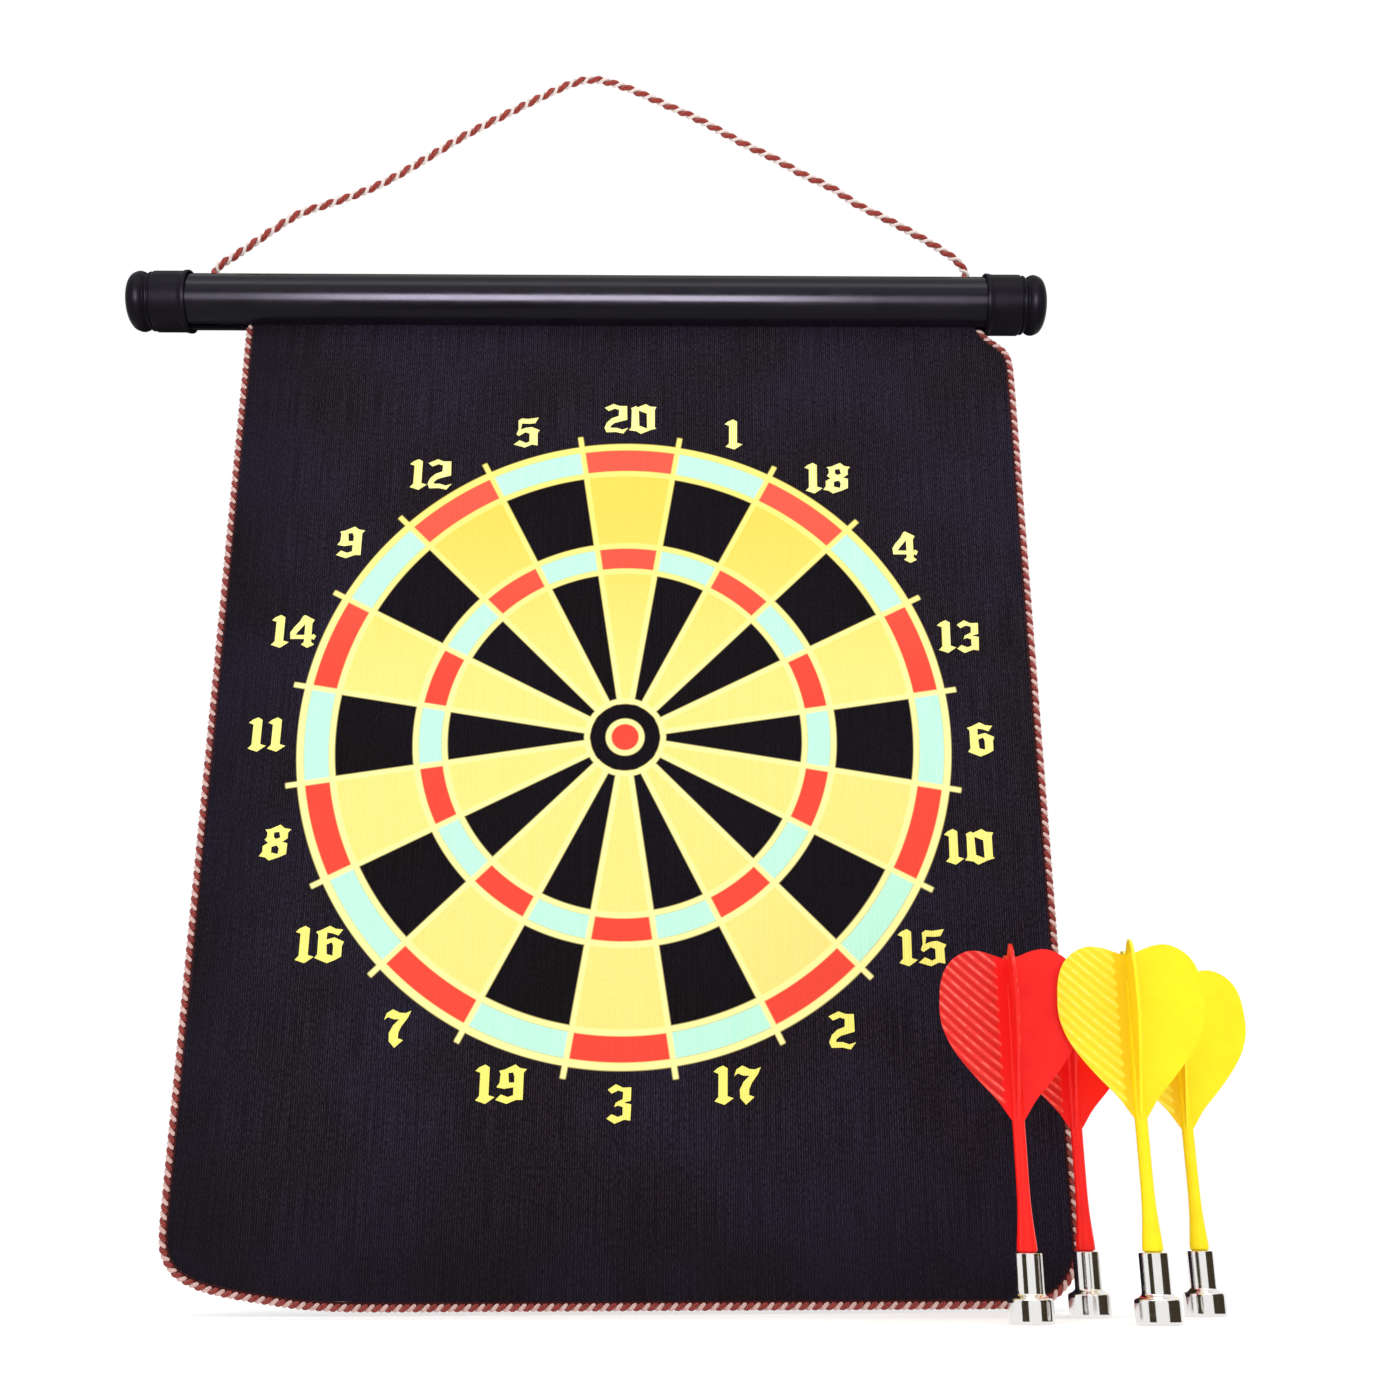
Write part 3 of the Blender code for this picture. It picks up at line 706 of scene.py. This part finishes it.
def edge_line(inset, top_z):
    """The mat's edge from the tube down its left side, along the bottom and up its right side."""
    left = [(MAT_LEFT + inset, top_z)]
    lower_left = inset_edge(LOWER_LEFT, MAT_LEFT, MAT_BOTTOM_Z, inset)
    lower_right = arc(MAT_RIGHT - CORNER_R, MAT_BOTTOM_Z + CORNER_R, CORNER_R - inset, 270, 360, 24)
    shoulder = inset_edge(SHOULDER[::-1], MAT_RIGHT, TUBE_BOTTOM_Z, inset)
    return np.vstack([left, lower_left, lower_right, shoulder]), 1 + len(lower_left)


def sheet_sides(inset):
    """Lines of the left and right ends of the mat's rows, from the bottom up."""
    line, turn = edge_line(inset, CLOTH_TOP_Z)
    left, right = line[:turn][::-1], line[turn:]
    right = np.vstack([right, (right[-1][0], CLOTH_TOP_Z)])
    return left, right


class Zone:
    """A part of the mat about one hinge, from mid strip to mid strip."""

    def __init__(self, number):
        last = len(HINGES)
        self.number = number
        self.top = CLOTH_TOP_Z if number == 1 else MIDDLES[number - 1]
        self.bottom = MAT_BOTTOM_Z if number == last else MIDDLES[number]
        self.hinge = HINGES[number - 1]
        self.bodies = ("tube" if number == 1 else f"mat_{number}", f"mat_{number + 1}")
        self.strips = [number, number + 1] if number == last else [number]
        lengths = -np.diff(LEVELS[number - 1:number + 2])
        self.half = BEND_SHARE * float(min(lengths))

    def rows(self, low):
        """Heights of its rows from the top down, closer together round the lower corners."""
        end = self.bottom if self.bottom > low else low + CORNER_ROWS
        upper = np.linspace(self.top, end, round((self.top - end) / ROW_STEP) + 1)
        if self.bottom > low:
            return upper
        lower = low + CORNER_ROWS * np.linspace(1, 0, 17) ** 2
        return np.concatenate([upper, lower[1:]])

    def bend(self, piece):
        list(self.bodies)
        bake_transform(piece)


# ---- sheets of the mat ----

def slab_mesh(name, rows, sides, front_y, back_y):
    """Closed sheet; its front faces take the first finish and the others the second."""
    left, right = [np.interp(rows, line[:, 1], line[:, 0]) for line in sides]
    shares = np.linspace(0, 1, SHEET_COLUMNS + 1)
    x = np.outer(1 - shares, left).T + np.outer(shares, right).T
    z = np.tile(rows[:, None], (1, len(shares)))
    layers = [np.stack([x, np.full_like(x, y), z], axis=2).reshape(-1, 3) for y in (front_y, back_y)]
    faces, front = slab_faces(x.shape)
    slots = [0] * front + [1] * (len(faces) - front)
    mesh = mesh_from(name, np.vstack(layers).tolist(), faces.tolist(), slots)
    map_print(mesh)
    return face_out(mesh)


def make_sheets(zone, finishes):
    layers = {
        "printed_cloth": ("front_cloth", ("printed", "cloth"), "cloth"),
        "magnetic_core": ("core", ("rubber", "rubber"), "magnetic_rubber"),
        "backing_cloth": ("rear_cloth", ("cloth", "cloth"), "rear_cloth"),
    }
    for label, (node, kinds, slot) in layers.items():
        low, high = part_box(f"{node}_{zone.number}")
        rows = zone.rows(MAT_BOTTOM_Z + CLOTH_INSET)
        name = f"{label}_{zone.number}"
        mesh = slab_mesh(name, rows, sheet_sides(CLOTH_INSET), low.y, high.y)
        piece = add_piece(name, mesh, *[finishes[kind] for kind in kinds])
        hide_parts(*[f"{node}_{k}" for k in zone.strips])
        zone.bend(piece)


# ---- piping ----

def band_rings(path, inner, y_low, y_high):
    """Band beside a path, from its middle inwards."""
    along, _, _ = frames_along(path)
    inwards = np.column_stack([-along[:, 2], np.zeros(len(path)), along[:, 0]])
    corners = []
    for share, y in ((0, y_low), (inner, y_low), (inner, y_high), (0, y_high)):
        corner = path + share * inwards
        corner[:, 1] = y
        corners.append(corner)
    return np.stack(corners, axis=1)


def make_piping(zones, finishes):
    """Twisted piping round the mat, cut where the sheets are cut, with its tape, whose near-black red is
    painted shadow beside the rope.
    """
    line, _ = edge_line(PIPING_R, PIPING_TOP_Z)
    line[:, 1] = np.minimum(line[:, 1], PIPING_TOP_Z)
    path = even_points(in_plane(line), RING_STEP)
    walked = travelled_along(path)
    inner = CLOTH_INSET - PIPING_R - 0.05 * MM
    bodies = [strand_rings(path, PIPING_R, PIPING_LEAD, k, share)
              for k, share in enumerate(PIPING_SHARES)]
    # band between rope and cloth, coloured near-black red as painted shadow beside the rope
    bodies.append(band_rings(path, inner, -TAPE_T / 2, TAPE_T / 2))
    lowest = int(np.argmax(path[:, 0] > MAT_RIGHT - 2 * CORNER_R))

    def cut_at(z, left):
        rows = path[:lowest, 2] if left else path[lowest:, 2]
        return int(np.argmin(abs(rows - z))) + (0 if left else lowest)

    def stretch(zone, name, low, high, *nodes):
        piece = cord_piece(name, bodies, walked, low, high, finishes)
        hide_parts(*nodes)
        zone.bend(piece)

    for zone in zones[:-1]:
        k = zone.number
        left_top = 0 if k == 1 else cut_at(zone.top, True)
        right_top = len(path) - 1 if k == 1 else cut_at(zone.top, False)
        stretch(zone, f"edge_piping_left_{k}", left_top, cut_at(zone.bottom, True),
                f"piping_left_{k}")
        stretch(zone, f"edge_piping_right_{k}", cut_at(zone.bottom, False), right_top,
                f"piping_right_{k}")
    last = zones[-1]
    stretch(last, "edge_piping_lower", cut_at(last.top, True), cut_at(last.top, False),
            f"piping_left_{last.number}", f"piping_right_{last.number}", "piping_bottom")


# ---- numbers of the board ----

# Outlines of the digits, x and z by turns in hundredths of their height; holes follow.
DIGITS = {
    "0": ((6,86, 20,93, 26,89, 50,100, 62,92, 82,90, 77,80, 77,22, 82,18, 62,12, 36,0, 22,9, 0,12, 7,22,
         8,78),
        (29,78, 53,68, 54,18, 31,27)),
    "1": ((0,84, 10,93, 25,100, 37,93, 36,22, 52,17, 28,0, 2,9, 12,20, 13,79),),
    "2": ((0,87, 27,100, 45,93, 67,93, 68,47, 50,42, 30,36, 19,27, 18,20, 36,20, 53,14, 71,20, 56,1,
         34,6, 6,5, 0,20, 7,38, 22,52, 42,60, 43,80, 30,84, 12,76),),
    "3": ((3,86, 24,100, 42,91, 64,92, 63,58, 48,54, 48,52, 64,49, 62,8, 46,10, 21,0, 0,13, 13,24, 30,17,
         42,22, 42,42, 30,46, 20,42, 24,53, 42,62, 43,80, 30,84, 13,76),),
    "4": ((0,46, 10,62, 25,80, 33,96, 39,100, 67,85, 61,74, 61,38, 67,42, 74,36, 69,25, 61,27, 61,18,
         70,10, 51,0, 33,10, 41,18, 41,27, 2,27),
        (41,39, 16,39, 21,48, 41,72)),
    "5": ((12,90, 22,97, 40,95, 72,100, 62,81, 44,79, 23,80, 20,60, 36,66, 52,68, 76,58, 70,47, 71,7,
         54,10, 33,0, 0,10, 17,24, 36,15, 46,20, 46,46, 34,51, 14,38, 7,44, 13,60),),
    "6": ((0,84, 12,88, 36,100, 52,92, 72,90, 60,74, 44,80, 30,82, 29,63, 50,69, 76,57, 71,46, 71,18,
         56,9, 34,0, 14,8, 0,14, 7,24, 7,76),
        (30,50, 44,56, 48,46, 48,20, 32,24)),
    "7": ((0,73, 6,90, 22,100, 40,91, 55,90, 70,96, 62,78, 46,56, 39,40, 38,25, 52,20, 30,0, 15,17,
         14,38, 24,58, 40,74, 24,74, 10,80),),
    "8": ((12,86, 26,88, 52,100, 64,90, 82,87, 74,78, 74,62, 60,52, 74,48, 73,18, 56,10, 28,0, 16,9,
         0,12, 8,24, 8,40, 22,49, 12,58, 18,66, 18,78),
        (36,78, 50,80, 54,64, 42,60, 36,66),
        (32,38, 46,42, 52,34, 50,18, 32,22)),
    "9": ((8,84, 22,87, 50,100, 62,91, 80,88, 72,79, 71,10, 54,10, 29,0, 0,10, 14,24, 32,17, 46,22,
         46,42, 34,40, 22,38, 2,42, 10,54, 12,76),
        (32,78, 44,80, 48,70, 48,54, 34,54)),
}


def digit_width(digit):
    return max(DIGITS[digit][0][::2]) / 100


def numbers_mesh(front_y):
    """All the numbers as one thin body of ink, a little sunk into the cloth's face."""
    curve = bpy.data.curves.new("numbers", "CURVE")
    curve.dimensions = "2D"
    curve.fill_mode = "BOTH"
    curve.extrude = INK_T / 2
    for place, number in enumerate(DIAL):
        bearing = math.radians(18 * place) - BOARD_TURN
        digits = str(number)
        width = sum(map(digit_width, digits)) + NUMBER_GAP * (len(digits) - 1)
        x = BOARD_X + NUMBER_RADIUS * math.sin(bearing) - width * NUMBER_HEIGHT / 2
        z = BOARD_Z + NUMBER_RADIUS * math.cos(bearing) - NUMBER_HEIGHT / 2
        for digit in digits:
            for line in DIGITS[digit]:
                spline = curve.splines.new("POLY")
                spline.points.add(len(line) // 2 - 1)
                spline.use_cyclic_u = True
                for point, across, up in zip(spline.points, line[::2], line[1::2]):
                    point.co = (x + across / 100 * NUMBER_HEIGHT, z + up / 100 * NUMBER_HEIGHT, 0, 1)
            x += (digit_width(digit) + NUMBER_GAP) * NUMBER_HEIGHT
    form = add_object("numbers_form", curve)
    mesh = evaluated_mesh(form)
    bpy.data.objects.remove(form)
    mesh.materials.clear()
    mesh.transform(Matrix.Translation((0, front_y - 0.3 * INK_T, 0)) @ turned(90, "X"))
    return mesh


def make_numbers(zones, finish):
    whole = numbers_mesh(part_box("front_cloth_3")[0].y)
    for zone in zones:
        bm = bmesh.new()
        bm.from_mesh(whole)
        bmesh.ops.remove_doubles(bm, verts=bm.verts, dist=MERGE_DISTANCE)
        rows = zone.rows(MAT_BOTTOM_Z + CLOTH_INSET)
        for z in rows:
            above, below = z == rows[0], z == rows[-1]
            cut = bmesh.ops.bisect_plane(
                bm, geom=bm.verts[:] + bm.edges[:] + bm.faces[:], dist=MERGE_DISTANCE / 10,
                plane_co=(0, 0, z), plane_no=UP, clear_outer=bool(above), clear_inner=bool(below))
            if above or below:
                edges = [e for e in cut["geom_cut"] if isinstance(e, bmesh.types.BMEdge)]
                bmesh.ops.edgenet_fill(bm, edges=edges)
        if bm.faces:
            name = f"numbers_{zone.number}"
            bmesh.ops.recalc_face_normals(bm, faces=bm.faces)
            mesh = bpy.data.meshes.new(name)
            bm.to_mesh(mesh)
            map_print(mesh)
            piece = add_piece(name, mesh, finish)
            zone.bend(piece)
        bm.free()


# ---- tube and caps ----

def make_tube(finish):
    section = []
    for radius, way in ((TUBE_R, 1), (TUBE_R - TUBE_WALL, -1)):
        half = math.degrees(math.asin(SLOT_W / 2 / radius))
        section.extend(arc(0, TUBE_Z, radius, -90 + half, 270 - half, TUBE_SIDES)[::way])
    reach = 4 * TUBE_WALL
    holes = (CORD_ROUTE[0][0] * MM, CORD_ROUTE[-1][0] * MM)
    stations = sorted([-TUBE_HALF, TUBE_HALF, *[x + d for x in holes for d in (-HOLE_D, HOLE_D)],
            *np.linspace(-0.12, 0.12, 9)])
    rings = np.stack([np.column_stack([np.full(len(section), x), section]) for x in stations])
    piece = add_piece("turned_tube", ring_mesh("turned_tube", [(rings, stations, 0)]), finish)
    for x in holes:
        profile = [(0, -reach), (HOLE_D / 2, -reach), (HOLE_D / 2, reach), (0, reach)]
        drill = turned_mesh("drill", profile, DRILL_SIDES)
        cutter = add_object("drill", drill)
        cutter.location = (x, 0, TUBE_TOP_Z)
        cut = piece.modifiers.new("hole", "BOOLEAN")
        cut.object = cutter
        cut.operation = "DIFFERENCE"
        bpy.context.view_layer.update()
        drilled = evaluated_mesh(piece)
        piece.modifiers.clear()
        piece.data = drilled
        bpy.data.objects.remove(cutter)
    piece.data.shade_smooth()
    piece.data.set_sharp_from_angle(angle=math.radians(30))
    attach(piece, "tube")
    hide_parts("scroll_tube")
    return piece


def in_metres(profile):
    return [(radius * MM, z * MM) for radius, z in profile]


def cap_profile():
    """Profile from the outer end to the floor of the bore, z measured from the rim outwards."""
    face = [(0, 24.0), (4.2, 23.95), (6.4, 23.8)]
    knob = smooth_points([(7.4, 23.65), (8.7, 23.2), (9.8, 22.6), (10.7, 21.8), (11.35, 20.6),
            (11.7, 19.2), (11.45, 17.9), (10.85, 16.9)], 5).tolist()
    groove = [(10.45, 16.6), (10.3, 16.2), (10.45, 15.85)]
    ring = smooth_points([(10.9, 15.6), (11.3, 15.3), (11.42, 14.9), (11.3, 14.55)], 4).tolist()
    cup = [(11.0, 14.35), (10.95, 14.2), (11.15, 13.95), (11.55, 13.8), (11.75, 13.5), (11.8, 13.1),
           (11.8, 3.0), (11.85, 2.4), (12.0, 1.9), (12.15, 1.4), (12.2, 0.9), (12.2, 0.25),
           (12.05, 0.0)]
    bore = [(11.35, 0), (11.2, 0.15), (11.2, 12.5), (0, 12.5)]
    return in_metres(face + knob + groove + ring + cup + bore)


def make_caps(finish):
    caps = []
    for name, side in (("left", -1), ("right", 1)):
        mesh = turned_mesh("moulded_cap_" + name, cap_profile(), 96)
        mesh.transform(Matrix.Translation((side * CAP_RIM_X, 0, TUBE_Z)) @ turned(side * 90, "Y"))
        piece = add_piece("moulded_cap_" + name, mesh, finish, sharp=35)
        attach(piece, "cap_" + name)
        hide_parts("end_cap_" + name)
        caps.append(piece)
    return caps


# ---- darts, modelled about their own axis with z = 0 on the floor ----

def barrel_profile():
    top = HEAD_H + BARREL_H
    bevel = 0.35
    hold = 0.3  # short edge that keeps a straight wall's shading straight
    neck = smooth_points([(BARREL_R, HEAD_H + 1.6), (BARREL_R + 0.15, HEAD_H + 0.9),
            (BARREL_R + 0.7, HEAD_H + 0.35), (HEAD_R - 1.0, HEAD_H)], 4).tolist()
    shoulder = smooth_points([(HEAD_R - 0.55, HEAD_H - 0.12), (HEAD_R - 0.15, HEAD_H - 0.5),
            (HEAD_R, HEAD_H - 1.1)], 4).tolist()
    return in_metres([
        (0, top - SOCKET_H), (SOCKET_R, top - SOCKET_H), (SOCKET_R, top - 0.2),
        (SOCKET_R + 0.2, top), (BARREL_R - bevel, top), (BARREL_R - 0.1, top - 0.12),
        (BARREL_R, top - bevel), (BARREL_R, top - bevel - hold), (BARREL_R, HEAD_H + 1.6 + hold),
        *neck, *shoulder, (HEAD_R, HEAD_H - 1.1 - hold), (HEAD_R, 0.7 + hold), (HEAD_R, 0.7),
        (HEAD_R - 0.15, 0.3), (HEAD_R - 0.55, 0),
        (POCKET_R + 0.2, 0), (POCKET_R, 0.2), (POCKET_R, POCKET_H), (0, POCKET_H)])


def shaft_profile():
    foot = HEAD_H + BARREL_H + SHAFT_GAP
    flight, flight_h = foot + SHAFT_H / MM, FLIGHT_H / MM
    spigot, spigot_foot = SOCKET_R - 0.3, foot - SOCKET_H + 0.3
    taper = smooth_points([(2.88, foot + 1), (2.62, foot + 4), (2.12, foot + 9.6),
            (1.85, foot + 17), (1.8, flight - 4), (1.8, flight),
            (1.6, flight + 0.2 * flight_h), (1.2, flight + 0.5 * flight_h),
            (0.9, flight + 0.8 * flight_h)], 5).tolist()
    return in_metres([(0, spigot_foot), (spigot, spigot_foot), (spigot, foot), (2.7, foot),
            (2.9, foot + 0.25), *taper, (0, flight + 0.8 * flight_h + 0.6)])


def vane_edges(across):
    """Heights of the lower and upper edge of a vane at shares of its width."""
    lower = smooth_points([(0.0, 0.0), (0.07, 0.0), (0.26, 0.12), (0.50, 0.235), (0.72, 0.35),
            (0.885, 0.46), (0.98, 0.57), (1.0, 0.66)])
    upper = smooth_points([(0.0, 0.94), (0.16, 0.965), (0.36, 0.995), (0.56, 1.0), (0.76, 0.96),
            (0.90, 0.89), (0.975, 0.79), (1.0, 0.66)])
    return [np.interp(across, np.maximum.accumulate(line[:, 0]), line[:, 1]) * FLIGHT_H
            for line in (lower, upper)]


def rib_height(across, height):
    """Relief of a vane's ribbed side, which fades out at the spine and along its outline."""
    lower, upper = vane_edges(across)
    phase = (height - RIB_SLOPE * across ** RIB_CURVE) * math.tau / RIB_PITCH
    crest = (0.5 + 0.5 * np.cos(phase)) ** 0.7
    inside = np.minimum(height - lower, upper - height) / (1.2 * MM)
    return RIB_H * crest * np.clip(inside, 0, 1) * np.clip((across - RIB_START) / 0.05, 0, 1)


def vane_body(angle, base):
    """One vane as points, faces, how many of these are ribbed, and a map."""
    columns = np.sin(np.linspace(0, 0.5 * math.pi, VANE_COLUMNS)) * 0.9995
    shares = np.linspace(0, 1, VANE_ROWS)
    lower, upper = vane_edges(columns)
    across = np.tile(columns[:, None], (1, len(shares)))
    height = lower[:, None] + (upper - lower)[:, None] * shares
    out = np.array([math.cos(angle), math.sin(angle), 0.0])
    ahead = np.array([-math.sin(angle), math.cos(angle), 0.0])
    middle = (across * FLIGHT_HALF_W)[..., None] * out + height[..., None] * np.array([0, 0, 1.0])
    middle[..., 2] += base
    ribbed = middle + (VANE_T / 2 + rib_height(across, height))[..., None] * ahead
    smooth = middle - VANE_T / 2 * ahead
    points = np.vstack([ribbed.reshape(-1, 3), smooth.reshape(-1, 3)])
    uv = np.tile(np.column_stack([across.ravel(), height.ravel()]), (2, 1))
    return points, *slab_faces(across.shape), uv


def flight_mesh():
    """Shaft with four vanes, each with ribs moulded on the same one of its two sides."""
    base = (HEAD_H + BARREL_H + SHAFT_GAP) * MM + SHAFT_H
    shaft = turned_mesh("flight", shaft_profile(), 48)
    points, faces = points_of(shaft), [tuple(f.vertices) for f in shaft.polygons]
    uvs = np.zeros((len(points), 2))
    slots = [0] * len(faces)
    for quarter in range(4):
        more, quads, ribbed, uv = vane_body(quarter * math.pi / 2, base)
        faces += [tuple(f) for f in (quads + len(points)).tolist()]
        slots += [1] * ribbed + [0] * (len(quads) - ribbed)
        points, uvs = np.vstack([points, more]), np.vstack([uvs, uv])
    mesh = mesh_from("flight", points.tolist(), faces, slots)
    map_points(mesh, "vane", uvs)
    return face_out(mesh)


def make_darts(finishes):
    flight, barrel = flight_mesh(), turned_mesh("barrel", barrel_profile())
    for dart, turn in DARTS.items():
        colour = dart.split("_")[1]
        low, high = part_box(dart + "_barrel")
        place = (Matrix.Translation(((low.x + high.x) / 2, (low.y + high.y) / 2, FLOOR_Z))
                 @ turned(turn, "Z"))
        coats = (finishes[colour], finishes[colour + "_ribs"])
        for part, shape, coats, slot in (("flight", flight, coats, colour + "_plastic"),
                                         ("barrel", barrel, [finishes["chrome"]], "chrome")):
            mesh = shape.copy()
            mesh.transform(place)
            piece = add_piece(f"{dart}_moulded_{part}", mesh, *coats)
            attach(piece, dart)
            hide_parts(f"{dart}_{part}")


# ---- studio ----

def make_floor(finish):
    floor = add_piece("floor", flat_mesh("floor", 8, FLOOR_HALF), finish)
    floor.location = (0, 0, FLOOR_Z - 0.1 * MM)
    floor.visible_glossy = False


def add_softbox(name, place, target, width, height, power, tint=(1, 1, 1), glossy_on=()):
    """Soft light; with glossy_on it only shows as a reflection in those pieces."""
    data = bpy.data.lights.new(name, "AREA")
    data.color = tint
    data.shape = "RECTANGLE"
    data.size, data.size_y = width, height
    data.energy = power
    light = add_object(name, data)
    light.location = place
    light.rotation_euler = (Vector(target) - Vector(place)).to_track_quat("-Z", "Y").to_euler()
    if glossy_on:
        light.visible_diffuse = False
        lit = bpy.data.collections.new(name + "_lit")
        for piece in glossy_on:
            lit.objects.link(piece)
        light.light_linking.receiver_collection = lit


def add_card(name, centre, bearing, distance, width, height):
    """Dark card that faces a centre, seen only as a reflection.

    Its bearing from there is in degrees from the front towards the right.
    """
    mesh = flat_mesh(name, 4, 0.5)
    mesh.transform(Matrix.Diagonal((width, height, 1, 1)))
    look = Finish(name, roughness=0.9, specular=0.0)
    grain = look.noise(look.place(), 30.0)
    dark = look.done(base_color=look.mix(grain, (44, 38, 28), (70, 62, 48)))
    card = add_piece(name, mesh, dark)
    angle = math.radians(bearing)
    offset = distance * Vector((math.sin(angle), -math.cos(angle), 0))
    facing = turned(bearing, "Z") @ turned(90, "X")
    card.matrix_world = Matrix.Translation(Vector(centre) + offset) @ facing
    for kind in ("camera", "diffuse", "transmission", "volume_scatter", "shadow"):
        setattr(card, "visible_" + kind, False)


def make_lights(plastics):
    world = bpy.data.worlds.new("studio")
    world.use_nodes = True
    background = world.node_tree.nodes["Background"]
    background.inputs["Color"].default_value = WHITE
    background.inputs["Strength"].default_value = 1.0
    bpy.context.scene.world = world
    add_softbox("key", (0.0, -0.75, 0.85), (0, 0, -0.15), 1.4, 0.35, 6.0)
    lilac = (0.86, 0.78, 1.0)
    for name, x, y, z, width, height, power in (
            ("strip", 0.0, -0.8, -0.24, 1.6, 0.34, 15.0),
            ("strip_middle", -0.06, -0.79, -0.24, 0.42, 0.3, 33.0),
            ("upper", 0.0, -0.6, 0.5, 1.6, 0.9, 7.0)):
        add_softbox(name, (x, y, z), (x, 0, TUBE_Z), width, height, power, lilac, plastics)
    darts = (0.163, -0.05, FLOOR_Z + 0.1)
    add_card("card_left", darts, -42, 0.35, 0.20, 0.3)
    add_card("card_right", darts, 72, 0.35, 0.55, 0.3)
    add_card("card_behind", (-0.02, 0, TUBE_Z), 180, 0.14, 0.5, 0.6)


def dress_kept_nodes(finishes):
    nodes = frame["nodes"]
    kept = {"header_bar": "bar_steel", "cord_knot_left": "red_yarn", "cord_knot_right": "red_yarn"}
    kept.update({dart + "_magnet": "nickel" for dart in DARTS})
    for name, finish in kept.items():
        mesh = nodes[name].data
        mesh.materials.clear()
        mesh.materials.append(finishes[finish])


def make_finishes():
    # each yarn: a shaded and a lit colour, for the painted shade between its threads
    ropes = {"red_yarn": ((98, 27, 22), (216, 84, 68)),
             "cream_yarn": ((250, 226, 216), (255, 247, 242)),
             "piping_red": ((88, 14, 12), (204, 84, 74)),
             "piping_cream": ((206, 138, 128), (255, 240, 234)),
             # the tape's colours are painted shadow beside the piping's rope
             "tape_painted_shadow": ((38, 5, 5), (84, 14, 12))}
    metals = {"chrome": ((0.80, 0.78, 0.76, 1), (0.88, 0.86, 0.84, 1), 0.09, (0.05, 0.05, 1)),
              "bar_steel": ((0.45, 0.46, 0.48, 1), (0.6, 0.61, 0.63, 1), 0.35, (0.03, 1, 1), False),
              "nickel": ((0.55, 0.54, 0.52, 1), (0.7, 0.69, 0.66, 1), 0.2, (1, 1, 0.1))}
    return {
        **{name: rope_finish(name, *colours) for name, colours in ropes.items()},
        **{name: metal_finish(name, *look) for name, look in metals.items()},
        "printed": printed_cloth_finish(),
        "cloth": plain_cloth_finish("black_cloth"),
        "rubber": rubber_finish(),
        "ink": ink_finish(),
        "tube": black_plastic_finish("tube_plastic", (14, 12, 18), 0.18, 0.09, 0.006 * MM),
        "cap": black_plastic_finish("cap_plastic", (12, 10, 14), 0.36, 0.035, 0.02 * MM),
        "red": moulded_finish("red_plastic", (248, 26, 18), (240, 14, 10), (1.0, 0.1, 0.05)),
        # ribbed sides: painted shade beside the spine, painted shade in the grooves, painted highlight
        # on the crests, painted glint
        "red_ribs": ribbed_finish("red_ribs", (238, 8, 6), (206, 24, 18), (236, 58, 48),
                                  (250, 120, 106)),
        "yellow": moulded_finish("yellow_plastic", (254, 230, 14), (250, 222, 8), (1.0, 0.8, 0.1)),
        "yellow_ribs": ribbed_finish("yellow_ribs", (243, 206, 12), (243, 222, 42),
                                     (250, 234, 56), (255, 243, 110)),
    }


def main():
    make_camera()
    finishes = make_finishes()
    make_hanging_cord((finishes["red_yarn"], finishes["cream_yarn"]))
    zones = [Zone(number) for number in range(1, len(HINGES) + 1)]
    for zone in zones:
        make_sheets(zone, finishes)
    make_piping(zones, (finishes["piping_red"], finishes["piping_cream"], finishes["tape_painted_shadow"]))
    make_numbers(zones, finishes["ink"])
    plastics = [make_tube(finishes["tube"]), *make_caps(finishes["cap"])]
    make_darts(finishes)
    dress_kept_nodes(finishes)
    make_floor(floor_finish())
    make_lights(plastics)
    bpy.context.scene.view_settings.view_transform = "Standard"


main()
